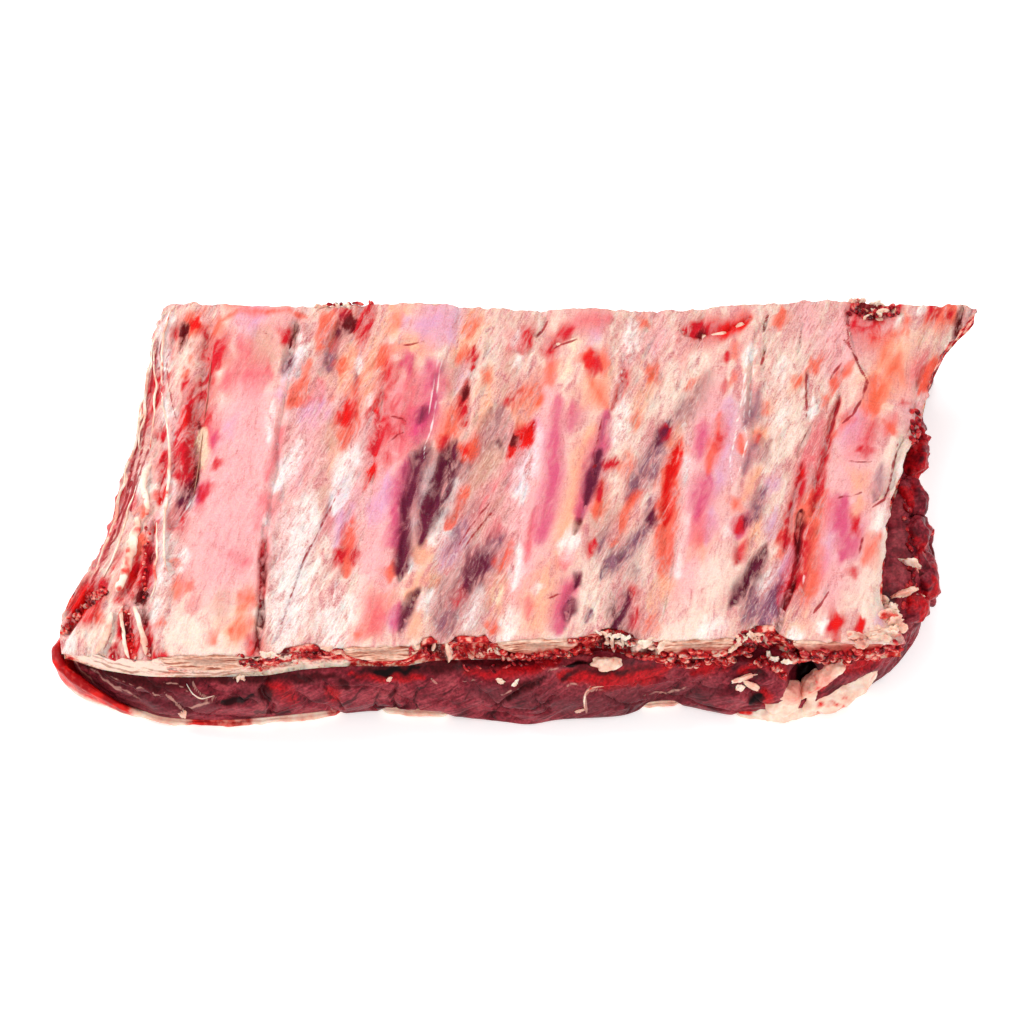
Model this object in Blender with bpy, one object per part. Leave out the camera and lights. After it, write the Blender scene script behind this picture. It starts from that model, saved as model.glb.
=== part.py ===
"""Raw beef short ribs: a plate of five ribs that lies with its bone side up.

Five flat rib bones lie in the grooves of the rib meat. Under them is the thick plate muscle, and
under that a thin cap of fat, which curls up at the front left corner and ends in lumps at the
front right one. X runs across the ribs, Y along them towards the back, and Z up. Sizes are in
millimetres and are turned to metres as each mesh is made.
"""

import math

import bpy
import numpy as np
from mathutils import Matrix, Vector, noise

MM = 0.001

# Driving sizes, in mm: the heights of the layers, and the gap that neighbours keep
CAP_TOP = 4.0
SEAM_MIDDLE = 33.0
SEAM_RISE = 0.017
PLATE_TOP = 48.5
PLATE_TILT = 0.010
BONE_CROWN = 2.2
BONE_DEPTH = 9.5
BONE_RIM_DEPTH = 0.5
BONE_PROUD = 0.6
GAP = 0.35

# Plan of the plate: the left and right edges as (y, x), the front and back cuts as (x, y)
LEFT_EDGE = (
    (-92, -201), (-74, -203), (-66, -202), (-50, -196), (-33, -189), (-16, -184.5),
    (9, -181), (26, -176), (52, -174), (70, -173), (88, -170), (104, -165),
)
RIGHT_EDGE = (
    (-92, 175), (-79, 172), (-71, 166.5), (-55, 167), (-36, 169.5), (-19, 172), (-5, 175.5), (6, 179.5),
    (17, 182), (29, 188), (46, 193), (64, 198), (82, 206), (91, 213), (99, 220), (104, 222),
)
FRONT_EDGE = (
    (-200, -84), (-183, -90), (-160, -94), (-111, -94), (-94, -91), (-74, -89.5), (-48, -89.5), (-36, -87),
    (-7, -86.5), (22, -86.5), (37, -82.5), (50, -84.5), (66, -87.5), (100, -86), (108, -82), (117, -82),
    (124, -87), (150, -89), (172, -87),
)
BACK_EDGE = (
    (-166, 106), (-150, 105), (-120, 102), (-86, 104), (-40, 103), (23, 100), (99, 101), (144, 106),
    (185, 102), (222, 103),
)
FRONT_MEAN = -88.0
BACK_MEAN = 102.5
LEFT_BEVEL = 24.0
LEFT_DROP = 10.0

# Each rib: x of its middle at the back and at the front cut, and its width at the back and front
RIBS = (
    (-122.0, -134.5, 38.0, 44.0),
    (-42.0, -58.0, 33.0, 34.0),
    (33.0, 12.0, 32.0, 37.0),
    (106.0, 83.0, 29.0, 36.0),
    (178.0, 145.0, 34.0, 40.0),
)

# Plan of the plate muscle at its foot, anticlockwise from the front left corner
MUSCLE_PLAN = (
    (-200, -72), (-183, -88), (-169, -95), (-155, -99.5), (-128, -100.5), (-101, -98), (-74, -94.5),
    (-60, -93.5), (-33, -95.5), (-5, -99), (8, -100.5), (22, -98), (49, -96), (63, -91), (77, -90.5),
    (90, -93.5), (104, -96), (131, -96), (145, -92), (156, -85), (167, -77), (178, -67), (188, -50),
    (192, -30), (192, -16), (188, -2), (191, 8), (188, 22), (193, 37), (191, 52), (197, 76), (206, 97),
    (188, 100), (140, 102), (80, 97), (22, 95.5), (-20, 99), (-100, 99.5), (-156, 100), (-168, 88),
    (-171, 65), (-173, 40), (-178, 10), (-185, -13), (-190, -34), (-196, -54),
)
SIDE_LEAN = 5.0
CAP_OVERHANG = 1.5
LIP_HEIGHT = 15.0
LIP_MIDDLE = (-206.0, -76.0)
LIP_REACH = 52.0

# Lumps of fat at the front right corner: middle, half sizes, turn about Z, lean to the right in degrees
FAT_LUMPS = (
    ((126, -91, 9.2), (14, 10, 12.4), 20, 0),
    ((151, -83, 8), (22, 9, 7.5), 35, 0),
    ((137, -91, 23), (5, 6, 14), 0, 32),
)
# The dark hollow that opens in the front cut beside them
HOLLOW = ((129, -92, 24), (5.5, 10, 11), 0, 0)

# Numbers of points along the pieces
ROWS = 16
GROOVE_POINTS = 7
BETWEEN_POINTS = 4
CUT_LEVELS = 3
RIM_POINTS = 132
SIDE_LEVELS = 7


def material(name, colour, roughness):
    """A plain finish: colour as linear red, green and blue."""
    made = bpy.data.materials.new(name)
    made.use_nodes = True
    shader = made.node_tree.nodes["Principled BSDF"]
    shader.inputs["Base Color"].default_value = (*colour, 1.0)
    shader.inputs["Roughness"].default_value = roughness
    shader.inputs["Metallic"].default_value = 0.0
    return made


def add_object(name, points, faces, finish):
    """A smooth-shaded object from points in mm."""
    mesh = bpy.data.meshes.new(name)
    mesh.from_pydata([tuple(c * MM for c in point) for point in points], [], faces)
    mesh.materials.append(finish)
    mesh.shade_smooth()
    made = bpy.data.objects.new(name, mesh)
    bpy.context.scene.collection.objects.link(made)
    return made


def spline(knots, at):
    """Catmull-Rom curve through (key, value) knots in rising order of key, read at one key."""
    keys = [k for k, _ in knots]
    values = [v for _, v in knots]
    i = min(max(int(np.searchsorted(keys, at)) - 1, 0), len(keys) - 2)
    t = min(max((at - keys[i]) / (keys[i + 1] - keys[i]), 0.0), 1.0)
    before, after = values[max(i - 1, 0)], values[min(i + 2, len(keys) - 1)]
    here, there = values[i], values[i + 1]
    return 0.5 * (
        2 * here
        + (there - before) * t
        + (2 * before - 5 * here + 4 * there - after) * t**2
        + (3 * here - before - 3 * there + after) * t**3
    )


def closed_curve(corners, count):
    """Points evenly spaced along a closed Catmull-Rom curve through the corners."""
    fine = []
    steps = 24
    for i in range(len(corners)):
        before, here, there, after = (
            np.array(corners[(i + k) % len(corners)], float) for k in (-1, 0, 1, 2)
        )
        for t in np.arange(steps) / steps:
            fine.append(
                0.5 * (2 * here + (there - before) * t + (2 * before - 5 * here + 4 * there - after) * t**2
                       + (3 * here - before - 3 * there + after) * t**3)
            )
    fine = np.array(fine + [fine[0]])
    run = np.concatenate([[0], np.cumsum(np.linalg.norm(np.diff(fine, axis=0), axis=1))])
    wanted = np.linspace(0, run[-1], count, endpoint=False)
    return np.stack([np.interp(wanted, run, fine[:, k]) for k in (0, 1)], 1)


def outward(curve):
    """Unit normals in plan that point out of an anticlockwise closed curve."""
    along = np.roll(curve, -1, axis=0) - np.roll(curve, 1, axis=0)
    normal = np.stack([along[:, 1], -along[:, 0]], 1)
    return normal / np.linalg.norm(normal, axis=1, keepdims=True)


def smooth_step(low, high, value):
    t = min(max((value - low) / (high - low), 0.0), 1.0)
    return t * t * (3 - 2 * t)


def seam_height(x):
    """Height of the flat seam between the plate muscle and the rib meat."""
    return SEAM_MIDDLE + SEAM_RISE * x


def plate_top(x, y):
    """Height of the bone side before the ribs swell it, lower at the bevelled left edge."""
    wave = 1.1 * math.sin(x / 47.0 + 0.6) * math.cos(y / 70.0) + 0.8 * math.sin(y / 38.0 + x / 90.0)
    from_left = x - spline(LEFT_EDGE, y)
    drop = LEFT_DROP * (1 - smooth_step(0, LEFT_BEVEL, from_left)) * (1 - 0.9 * smooth_step(80, 100, y))
    edge_round = 2.5 * (1 - smooth_step(0, 9, spline(RIGHT_EDGE, y) - x))
    return PLATE_TOP + PLATE_TILT * x + wave - drop - edge_round


def rib_line(rib, y):
    """Middle and half width of a rib at y. The rib bows a little between its ends."""
    back_x, front_x, back_width, front_width = rib
    share = (y - FRONT_MEAN) / (BACK_MEAN - FRONT_MEAN)
    middle = front_x + (back_x - front_x) * share + 3.0 * math.sin(math.pi * share)
    return middle, (front_width + (back_width - front_width) * share) / 2


def row_y(row_share):
    """y of a row of the plate where the front cut is at its mean place."""
    return FRONT_MEAN + (BACK_MEAN - FRONT_MEAN) * row_share


def place(x, row_share):
    """y of a point of the plate in one row: the rows spread evenly from the front cut to the back."""
    y = row_y(row_share)
    left, right = spline(LEFT_EDGE, y), spline(RIGHT_EDGE, y)
    across = (x - left) / (right - left)
    front, back = (
        spline(edge, edge[0][0] + (edge[-1][0] - edge[0][0]) * across) for edge in (FRONT_EDGE, BACK_EDGE)
    )
    return front + (back - front) * row_share


def rib_underside(rib, row_share, gap):
    """Underside of a rib from left to right in one row, or with a gap the groove that it lies in."""
    y = row_y(row_share)
    middle, half = rib_line(rib, y)
    rim = plate_top(middle, y) - BONE_RIM_DEPTH
    line = []
    for k in range(GROOVE_POINTS + 1):
        across = -math.cos(math.pi * k / GROOVE_POINTS)
        depth = (BONE_DEPTH + gap) * math.sqrt(max(1 - abs(across) ** 2.4, 0.0))
        x = middle + (half + gap) * across
        line.append((x, place(x, row_share), rim - depth))
    return line


def top_line(row_share):
    """Upper face of the rib meat across one row: flat between the ribs, with a groove for each."""
    y = row_y(row_share)
    line = []
    start = spline(LEFT_EDGE, y)
    for rib in RIBS:
        groove = rib_underside(rib, row_share, GAP)
        line += flat_run(start, groove[0][0], row_share)
        line.append((*groove[0][:2], plate_top(groove[0][0], y)))
        line += groove[1:-1]
        start = groove[-1][0]
    line += flat_run(start, spline(RIGHT_EDGE, y), row_share)
    x = spline(RIGHT_EDGE, y)
    line.append((x, place(x, row_share), plate_top(x, y)))
    return line


def flat_run(start, end, row_share):
    """Points of the meat between two ribs, from start up to but not with end."""
    line = []
    for k in range(BETWEEN_POINTS):
        x = start + (end - start) * k / BETWEEN_POINTS
        line.append((x, place(x, row_share), plate_top(x, row_y(row_share))))
    return line


def cut_crag(x, z):
    """How far the meat of the front and back cuts lies proud, in mm: torn between the ribs."""
    low = noise.noise(Vector((x / 17.0, z / 9.0, 0.3)))
    fine = noise.noise(Vector((x / 6.0, z / 5.0, 4.1)))
    return 1.2 * low + 0.7 * fine


def build_rib_meat(finish):
    """The meat round the bones: one slab with five open grooves, and torn cut faces."""
    points, faces, rows = [], [], []

    def add(x, y, z):
        points.append((x, y, z))
        return len(points) - 1

    for row in range(ROWS + 1):
        out = {0: -1.0, ROWS: 1.0}.get(row, 0.0)
        columns = []
        line = top_line(row / ROWS)
        for k, (x, y, top) in enumerate(line):
            bottom = seam_height(x) + GAP
            column = [add(x, y, bottom)]
            for level in range(1, CUT_LEVELS if out else 0):
                z = bottom + (top - bottom) * level / CUT_LEVELS
                proud = cut_crag(x, z) if 0 < k < len(line) - 1 else 0.0
                column.append(add(x, y + out * proud, z))
            column.append(add(x, y, top))
            columns.append(column)
        rows.append(columns)
    for here, after in zip(rows, rows[1:]):
        for k in range(len(here) - 1):
            faces.append((here[k][-1], here[k + 1][-1], after[k + 1][-1], after[k][-1]))
            faces.append((here[k][0], after[k][0], after[k + 1][0], here[k + 1][0]))
        faces.append((*here[0], *after[0][::-1]))
        faces.append((*after[-1], *here[-1][::-1]))
    for columns, turned in ((rows[0], False), (rows[-1], True)):
        for left, right in zip(columns, columns[1:]):
            for level in range(CUT_LEVELS):
                face = (left[level], right[level], right[level + 1], left[level + 1])
                faces.append(face[::-1] if turned else face)
    return add_object("rib_meat", points, faces, finish)


def build_rib_bone(number, rib, finish):
    """One flat rib: a lens-shaped bar from cut to cut, crowned on top, with slightly proud ends."""
    points, faces = [], []
    for row in range(ROWS + 1):
        share = row / ROWS
        proud = {0: -BONE_PROUD, ROWS: BONE_PROUD}.get(row, 0.0)
        under = rib_underside(rib, share, 0.0)
        low, high = under[0], under[-1]
        middle, half = (low[0] + high[0]) / 2, (high[0] - low[0]) / 2
        crown = []
        for x, y, _ in under[1:-1]:
            across = (x - middle) / half
            rise = (BONE_CROWN + BONE_RIM_DEPTH) * math.sqrt(1 - across**2)
            crown.append((x, y, low[2] + rise))
        points += [(x, y + proud, z) for x, y, z in under + crown[::-1]]
    ring = len(points) // (ROWS + 1)
    for row in range(ROWS):
        for k in range(ring):
            a, b = row * ring + k, row * ring + (k + 1) % ring
            faces.append((a, a + ring, b + ring, b))
    faces.append(tuple(range(ring)))
    faces.append(tuple(ROWS * ring + k for k in range(ring))[::-1])
    made = add_object(f"rib_bone_{number}", points, faces, finish)
    made.data.set_sharp_from_angle(angle=math.radians(50))
    return made


def muscle_relief(x, y, z):
    """How far the side of the muscle lies proud, in mm: lobes, creases between them and grain."""
    lobes = 2.6 * noise.noise(Vector((x / 34.0, y / 30.0, z / 26.0)))
    crease = abs(noise.noise(Vector((x / 21.0 + 7.0, y / 19.0, z / 13.0))))
    grain = 0.6 * noise.noise(Vector((x / 7.0, y / 7.0, z / 5.0)))
    return lobes - 2.6 * (1 - smooth_step(0.0, 0.16, crease)) + grain


def lip_share(x, y):
    """How far the fat cap curls up here, from 0 to 1: most at the front left corner."""
    away = math.hypot(x - LIP_MIDDLE[0], y - LIP_MIDDLE[1])
    return 1 - smooth_step(0, LIP_REACH, away)


def lip_inner(lip):
    """How far outside the foot of the muscle the inner face of the lip stands."""
    return 3.6 * lip + 0.3


def build_muscle(finish):
    """The plate muscle: a thick pad from the fat cap to the seam, with a bulging, creased side.

    Its side leans in towards the seam, and stays inside the lip where the fat cap curls up.
    """
    curve = closed_curve(MUSCLE_PLAN, RIM_POINTS)
    normal = outward(curve)
    points, faces = [], []
    for level in range(SIDE_LEVELS):
        share = level / (SIDE_LEVELS - 1)
        bulge = 3.2 * math.sin(math.pi * share) ** 0.7 - SIDE_LEAN * share
        inner = 0 < level < SIDE_LEVELS - 1
        for (x, y), (nx, ny) in zip(curve, normal):
            low, high = CAP_TOP + GAP, seam_height(x)
            z = low + (high - low) * share
            lip = lip_share(x, y)
            most = lip_inner(lip) - GAP + 6 * (1 - lip) ** 6
            out = min(bulge + (muscle_relief(x, y, z) if inner else 0.0), most)
            x, y = x + nx * out, y + ny * out
            if level == SIDE_LEVELS - 1:
                z = seam_height(x)
            points.append((x, y, z))
    for level in range(SIDE_LEVELS - 1):
        for k in range(RIM_POINTS):
            a, b = level * RIM_POINTS + k, level * RIM_POINTS + (k + 1) % RIM_POINTS
            faces.append((a, b, b + RIM_POINTS, a + RIM_POINTS))
    faces.append(tuple(range(RIM_POINTS))[::-1])
    faces.append(tuple((SIDE_LEVELS - 1) * RIM_POINTS + k for k in range(RIM_POINTS)))
    return add_object("plate_muscle", points, faces, finish)


def build_fat_cap(finish):
    """The fat under the muscle: a thin flat sheet whose rim turns up at the front left corner."""
    curve = closed_curve(MUSCLE_PLAN, RIM_POINTS)
    normal = outward(curve)
    loops = []
    for k, ((x, y), (nx, ny)) in enumerate(zip(curve, normal)):
        lip = lip_share(x, y)
        wave = 0.8 * noise.noise(Vector((x / 16.0, y / 16.0, 0.0)))
        thick = 3.0 + 1.4 * lip
        inner = lip_inner(lip)
        outer = inner + thick * lip + CAP_OVERHANG * (1 - lip) + wave
        rise = CAP_TOP - 1.2 + (LIP_HEIGHT + 2 * wave) * lip
        rings = (
            (outer - 6.0, 0.0),
            (outer - 1.2, 0.8),
            (outer, 0.5 * rise + 0.5),
            (outer + 1.5 * lip, rise),
            (inner + 1.2 * lip + 0.2, rise + 0.5),
            (inner - 2.5 * (1 - lip) ** 20, CAP_TOP),
        )
        loops.append([(x + nx * out, y + ny * out, z) for out, z in rings])
    rings = list(zip(*loops))
    points = [point for ring in rings for point in ring]
    faces = []
    for ring in range(len(rings) - 1):
        for k in range(RIM_POINTS):
            a, b = ring * RIM_POINTS + k, ring * RIM_POINTS + (k + 1) % RIM_POINTS
            faces.append((a, b, b + RIM_POINTS, a + RIM_POINTS))
    faces.append(tuple(range(RIM_POINTS))[::-1])
    faces.append(tuple((len(rings) - 1) * RIM_POINTS + k for k in range(RIM_POINTS)))
    return add_object("fat_cap", points, faces, finish)


def build_lump(name, lump, grow, finish):
    """One knobbly lump of fat, or with grow the pocket that it lies in."""
    middle, half, turn, lean = lump
    around, up = 22, 12
    place_lump = Matrix.Rotation(math.radians(turn), 3, "Z") @ Matrix.Rotation(math.radians(lean), 3, "Y")
    points, faces = [], []

    def add(share, angle):
        polar = math.pi * share
        girth = math.sin(polar)
        along = np.array((girth * math.cos(angle), girth * math.sin(angle), -math.cos(polar)))
        knobs = 1 + 0.16 * noise.noise(Vector(along * 1.7 + np.array(middle) * 0.1))
        x, y, z = Vector(middle) + place_lump @ Vector(along * (np.array(half) * knobs + grow))
        points.append((x, y, max(z, 1.0 - grow)))

    add(0.0, 0.0)
    for level in range(1, up):
        for k in range(around):
            add(level / up, 2 * math.pi * k / around)
    add(1.0, 0.0)
    top = len(points) - 1
    for k in range(around):
        after = (k + 1) % around
        faces.append((0, 1 + after, 1 + k))
        for level in range(up - 2):
            low = 1 + level * around
            faces.append((low + k, low + after, low + around + after, low + around + k))
        low = 1 + (up - 2) * around
        faces.append((low + k, low + after, top))
    return add_object(name, points, faces, finish)


def boolean(base, other, operation):
    """Joins or cuts, applies the result to base, and removes the other object.

    The exact solver loses the muscle at its second pocket, so the manifold one is used.
    """
    modifier = base.modifiers.new(operation.title(), "BOOLEAN")
    modifier.operation = operation
    modifier.solver = "MANIFOLD"
    modifier.object = other
    bpy.context.view_layer.update()
    graph = bpy.context.evaluated_depsgraph_get()
    mesh = bpy.data.meshes.new_from_object(base.evaluated_get(graph))
    base.modifiers.clear()
    base.data = mesh
    bpy.data.objects.remove(other)


def centre_on_origin(objects):
    """Moves all the meshes so that their common box stands centred on the origin."""
    corners = np.array([tuple(v.co) for made in objects for v in made.data.vertices])
    low, high = corners.min(0), corners.max(0)
    shift = Vector((-(low[0] + high[0]) / 2, -(low[1] + high[1]) / 2, -low[2]))
    for made in objects:
        for vertex in made.data.vertices:
            vertex.co += shift


for old in list(bpy.data.objects):
    bpy.data.objects.remove(old)

bone_finish = material("bone", (0.83, 0.42, 0.40), 0.35)
rib_meat_finish = material("rib_meat", (0.76, 0.44, 0.38), 0.4)
muscle_finish = material("muscle", (0.16, 0.012, 0.018), 0.4)
fat_finish = material("fat", (0.85, 0.62, 0.48), 0.5)

rib_meat = build_rib_meat(rib_meat_finish)
bones = [build_rib_bone(i + 1, rib, bone_finish) for i, rib in enumerate(RIBS)]
muscle = build_muscle(muscle_finish)
fat_cap = build_fat_cap(fat_finish)
for i, fat_lump in enumerate((*FAT_LUMPS, HOLLOW)):
    boolean(muscle, build_lump(f"pocket_{i}", fat_lump, 0.6, muscle_finish), "DIFFERENCE")
for i, fat_lump in enumerate(FAT_LUMPS):
    boolean(fat_cap, build_lump(f"lump_{i}", fat_lump, 0.0, fat_finish), "UNION")
centre_on_origin([rib_meat, *bones, muscle, fat_cap])
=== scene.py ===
"""Raw beef short ribs, lying bone side up: five ribs in their meat, over the plate muscle and its fat.

Sizes are in millimetres in the plan of the plate: X runs across the ribs to the right, Y along them to
the back cut, and Z up from what the meat lies on. They turn to metres as each mesh is made.
"""

import itertools
import math

import bpy
import numpy as np
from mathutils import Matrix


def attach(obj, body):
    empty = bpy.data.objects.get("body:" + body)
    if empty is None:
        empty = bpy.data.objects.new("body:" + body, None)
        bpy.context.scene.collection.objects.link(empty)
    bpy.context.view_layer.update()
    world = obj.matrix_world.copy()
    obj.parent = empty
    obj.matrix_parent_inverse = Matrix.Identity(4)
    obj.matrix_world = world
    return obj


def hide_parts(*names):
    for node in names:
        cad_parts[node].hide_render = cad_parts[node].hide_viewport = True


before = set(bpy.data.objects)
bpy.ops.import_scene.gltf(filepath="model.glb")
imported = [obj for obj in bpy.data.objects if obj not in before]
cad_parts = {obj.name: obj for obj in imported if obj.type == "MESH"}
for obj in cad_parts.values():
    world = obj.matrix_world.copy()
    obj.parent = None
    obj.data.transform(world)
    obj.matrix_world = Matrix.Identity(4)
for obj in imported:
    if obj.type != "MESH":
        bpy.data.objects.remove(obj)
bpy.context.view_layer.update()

# The view: the plate is seen over its front cut, through a long lens that is raised 55 degrees.
# The marks on the meat are placed where they show in this view, in pixels across and down.
MM = 0.001
PLAN_ORIGIN = np.array((-6.3, -1.3, 0.0))
RAISED = math.radians(55)
AWAY = 1600.0
AIM = np.array((0.0, 0.0, 25.0))
PIXELS_PER_MM = 2.15
PICTURE = 1024
SENSOR = 36.0

backward = np.array((0.0, -math.cos(RAISED), math.sin(RAISED)))
upward = np.array((0.0, math.sin(RAISED), math.cos(RAISED)))
eye = AIM + backward * AWAY


def seen_at(points):
    """The pixel, across and down, where each point of the plan shows in the view."""
    ray = np.asarray(points, float) - eye
    scale = PIXELS_PER_MM * AWAY / -(ray @ backward)
    return np.stack([PICTURE / 2 + scale * ray[..., 0], PICTURE / 2 - scale * (ray @ upward)], -1)


camera_data = bpy.data.cameras.new("camera")
camera_data.sensor_width = SENSOR
camera_data.lens = PIXELS_PER_MM * AWAY / PICTURE * SENSOR
camera_data.clip_end = 10 * AWAY * MM
camera = bpy.data.objects.new("camera", camera_data)
camera.location = (eye + PLAN_ORIGIN) * MM
camera.rotation_euler = (math.pi / 2 - RAISED, 0, 0)
bpy.context.scene.collection.objects.link(camera)
bpy.context.scene.camera = camera

# The plate: a slab 16 mm thick of meat, fat and membrane that holds the five ribs. It was sawn across
# the ribs at the front and the back, and cut along its left and right sides with a knife.
LEFT_EDGE = (
    (-92, -201), (-74, -203), (-66, -202), (-50, -196), (-33, -189), (-16, -184.5),
    (9, -181), (26, -176), (52, -174), (70, -173), (88, -170), (104, -165),
)
RIGHT_EDGE = (
    (-92, 175), (-79, 172), (-71, 166.5), (-55, 167), (-36, 169.5), (-19, 172), (-5, 175.5), (6, 179.5),
    (17, 182), (29, 188), (46, 193), (64, 198), (82, 206), (91, 213), (99, 220), (104, 222),
)
FRONT_EDGE = (
    (-200, -84), (-183, -90), (-160, -94), (-111, -94), (-94, -91), (-74, -89.5), (-48, -89.5), (-36, -87),
    (-7, -86.5), (22, -86.5), (37, -82.5), (50, -84.5), (66, -87.5), (100, -86), (108, -82), (117, -82),
    (124, -87), (150, -89), (172, -87),
)
BACK_EDGE = (
    (-166, 106), (-150, 105), (-120, 102), (-86, 104), (-40, 103), (23, 100), (99, 101), (144, 106),
    (185, 102), (222, 103),
)
FRONT_MEAN, BACK_MEAN = -88.0, 102.5
# Each rib: x of its middle at the back and the front cut, and its width at the back and the front
RIBS = (
    (-122.0, -134.5, 38.0, 44.0),
    (-42.0, -58.0, 33.0, 34.0),
    (33.0, 12.0, 32.0, 37.0),
    (106.0, 83.0, 29.0, 36.0),
    (178.0, 145.0, 34.0, 40.0),
)
PLATE_TOP, PLATE_TILT = 48.5, 0.010
LEFT_BEVEL, LEFT_DROP = 24.0, 10.0
BONE_CROWN, BONE_DEPTH, BONE_RIM_DEPTH = 2.2, 9.5, 0.5
SEAM_MIDDLE, SEAM_RISE = 33.0, 0.017
GAP = 0.35


def ease(low, high, value):
    """Runs smoothly from 0 at low to 1 at high."""
    t = np.clip((value - low) / (high - low), 0.0, 1.0)
    return t * t * (3 - 2 * t)


def spline(knots, at):
    """Catmull-Rom curve through (key, value) knots in rising order of key."""
    keys, values = np.array(knots, float).T
    at = np.asarray(at, float)
    i = np.clip(np.searchsorted(keys, at) - 1, 0, len(keys) - 2)
    t = np.clip((at - keys[i]) / (keys[i + 1] - keys[i]), 0.0, 1.0)
    before, here, there, after = (values[np.clip(i + k, 0, len(keys) - 1)] for k in (-1, 0, 1, 2))
    return 0.5 * (
        2 * here
        + (there - before) * t
        + (2 * before - 5 * here + 4 * there - after) * t**2
        + (3 * here - before - 3 * there + after) * t**3
    )


def noise(*coordinates, seed=0):
    """A smooth random field, with about one bump for each unit of its coordinates, from -1 to 1."""
    coordinates = np.broadcast_arrays(*(np.asarray(c, float) for c in coordinates))
    cells = [np.floor(c).astype(np.int64) for c in coordinates]
    eased = [ease(0.0, 1.0, c - cell) for c, cell in zip(coordinates, cells)]
    total = np.zeros(coordinates[0].shape)
    for corner in itertools.product((0, 1), repeat=len(cells)):
        key = np.full(total.shape, seed * 7919 + 17, np.int64)
        weight = 1.0
        for step, cell, share in zip(corner, cells, eased):
            key = ((key ^ (cell + step)) * 668265263 + 374761393) & 0xFFFFFFFF
            key ^= key >> 15
            weight = weight * (share if step else 1 - share)
        total += weight * ((key * 2246822519 & 0xFFFFFFFF) / 0xFFFFFFFF)
    return 2 * total - 1


def layered(*coordinates, seed=0, octaves=3):
    """Noise with finer, weaker noise on it."""
    return sum(
        noise(*(np.asarray(c, float) * 2.1**k for c in coordinates), seed=seed + 31 * k) / 2**k
        for k in range(octaves)
    )


def row_y(depth):
    """y of a row of the plate where its cuts are at their mean place; depth is 0 at the front cut."""
    return FRONT_MEAN + (BACK_MEAN - FRONT_MEAN) * depth


def place(x, depth):
    """y of a point of the plate: the rows spread evenly from the front cut to the back."""
    y = row_y(depth)
    left, right = spline(LEFT_EDGE, y), spline(RIGHT_EDGE, y)
    across = (x - left) / (right - left)
    front, back = (
        spline(edge, edge[0][0] + (edge[-1][0] - edge[0][0]) * across) for edge in (FRONT_EDGE, BACK_EDGE)
    )
    return front + (back - front) * depth


def flat_top(x, y):
    """Height of the bone side before the ribs swell it, lower at the bevelled left edge."""
    wave = 1.1 * np.sin(x / 47.0 + 0.6) * np.cos(y / 70.0) + 0.8 * np.sin(y / 38.0 + x / 90.0)
    bevel = 1 - ease(0, LEFT_BEVEL, x - spline(LEFT_EDGE, y))
    drop = LEFT_DROP * bevel * (1 - 0.9 * ease(80, 100, y))
    edge_round = 2.5 * (1 - ease(0, 9, spline(RIGHT_EDGE, y) - x))
    return PLATE_TOP + PLATE_TILT * x + wave - drop - edge_round


def rib_line(rib, y):
    """Middle and half width of a rib at y. The rib bows a little between its ends."""
    back_x, front_x, back_width, front_width = rib
    depth = (y - FRONT_MEAN) / (BACK_MEAN - FRONT_MEAN)
    middle = front_x + (back_x - front_x) * depth + 3.0 * np.sin(math.pi * depth)
    return middle, (front_width + (back_width - front_width) * depth) / 2


def seam_height(x):
    """Height of the flat seam between the plate muscle and the rib meat."""
    return SEAM_MIDDLE + SEAM_RISE * x


def hex_colour(code):
    """Linear red, green, blue and alpha of an sRGB hex colour."""
    parts = [int(code[i : i + 2], 16) / 255 for i in (0, 2, 4)]
    return (*(c / 12.92 if c <= 0.04045 else ((c + 0.055) / 1.055) ** 2.4 for c in parts), 1.0)


def node(tree, kind, inputs=None, **settings):
    """Adds a shader node, sets it, and sets or links its inputs."""
    made = tree.nodes.new("ShaderNode" + kind)
    for name, value in settings.items():
        setattr(made, name, value)
    for socket, value in (inputs or {}).items():
        if isinstance(value, bpy.types.NodeSocket):
            tree.links.new(value, made.inputs[socket])
        else:
            made.inputs[socket].default_value = value
    return made


def body(name, points, faces, marks=None):
    """A smooth-shaded mesh object that rides on the plate, with a float attribute for each mark."""
    mesh = bpy.data.meshes.new(name)
    mesh.from_pydata(((np.asarray(points) + PLAN_ORIGIN) * MM).tolist(), [], faces)
    for mark, values in (marks or {}).items():
        attribute = mesh.attributes.new(mark, "FLOAT", "POINT")
        attribute.data.foreach_set("value", np.asarray(values, np.float32))
    mesh.shade_smooth()
    made = bpy.data.objects.new(name, mesh)
    bpy.context.scene.collection.objects.link(made)
    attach(made, "root")
    return made


def grid_faces(rows, columns, start=0, flip=False):
    """Quads of a grid of points that are listed row by row."""
    corners = np.arange(rows * columns).reshape(rows, columns) + start
    quads = [corners[:-1, :-1], corners[:-1, 1:], corners[1:, 1:], corners[1:, :-1]]
    quads = np.stack(quads[::-1] if flip else quads, -1)
    return quads.reshape(-1, 4).tolist()


# The fat cap: the subcutaneous fat that the plate lies on, a waxy sheet trimmed to about 4 mm. It curls
# up round the front left corner, where its inside is stained with blood.
MUSCLE_PLAN = (
    (-200, -72), (-183, -88), (-169, -95), (-155, -99.5), (-128, -100.5), (-101, -98), (-74, -94.5),
    (-60, -93.5), (-33, -95.5), (-5, -99), (8, -100.5), (22, -98), (49, -96), (63, -91), (77, -90.5),
    (90, -93.5), (104, -96), (131, -96), (145, -92), (156, -85), (167, -77), (178, -67), (188, -50),
    (192, -30), (192, -16), (188, -2), (191, 8), (188, 22), (193, 37), (191, 52), (197, 76), (206, 97),
    (188, 100), (140, 102), (80, 97), (22, 95.5), (-20, 99), (-100, 99.5), (-156, 100), (-168, 88),
    (-171, 65), (-173, 40), (-178, 10), (-185, -13), (-190, -34), (-196, -54),
)
RIM_POINTS = 1440
CAP_TOP = 4.0
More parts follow.
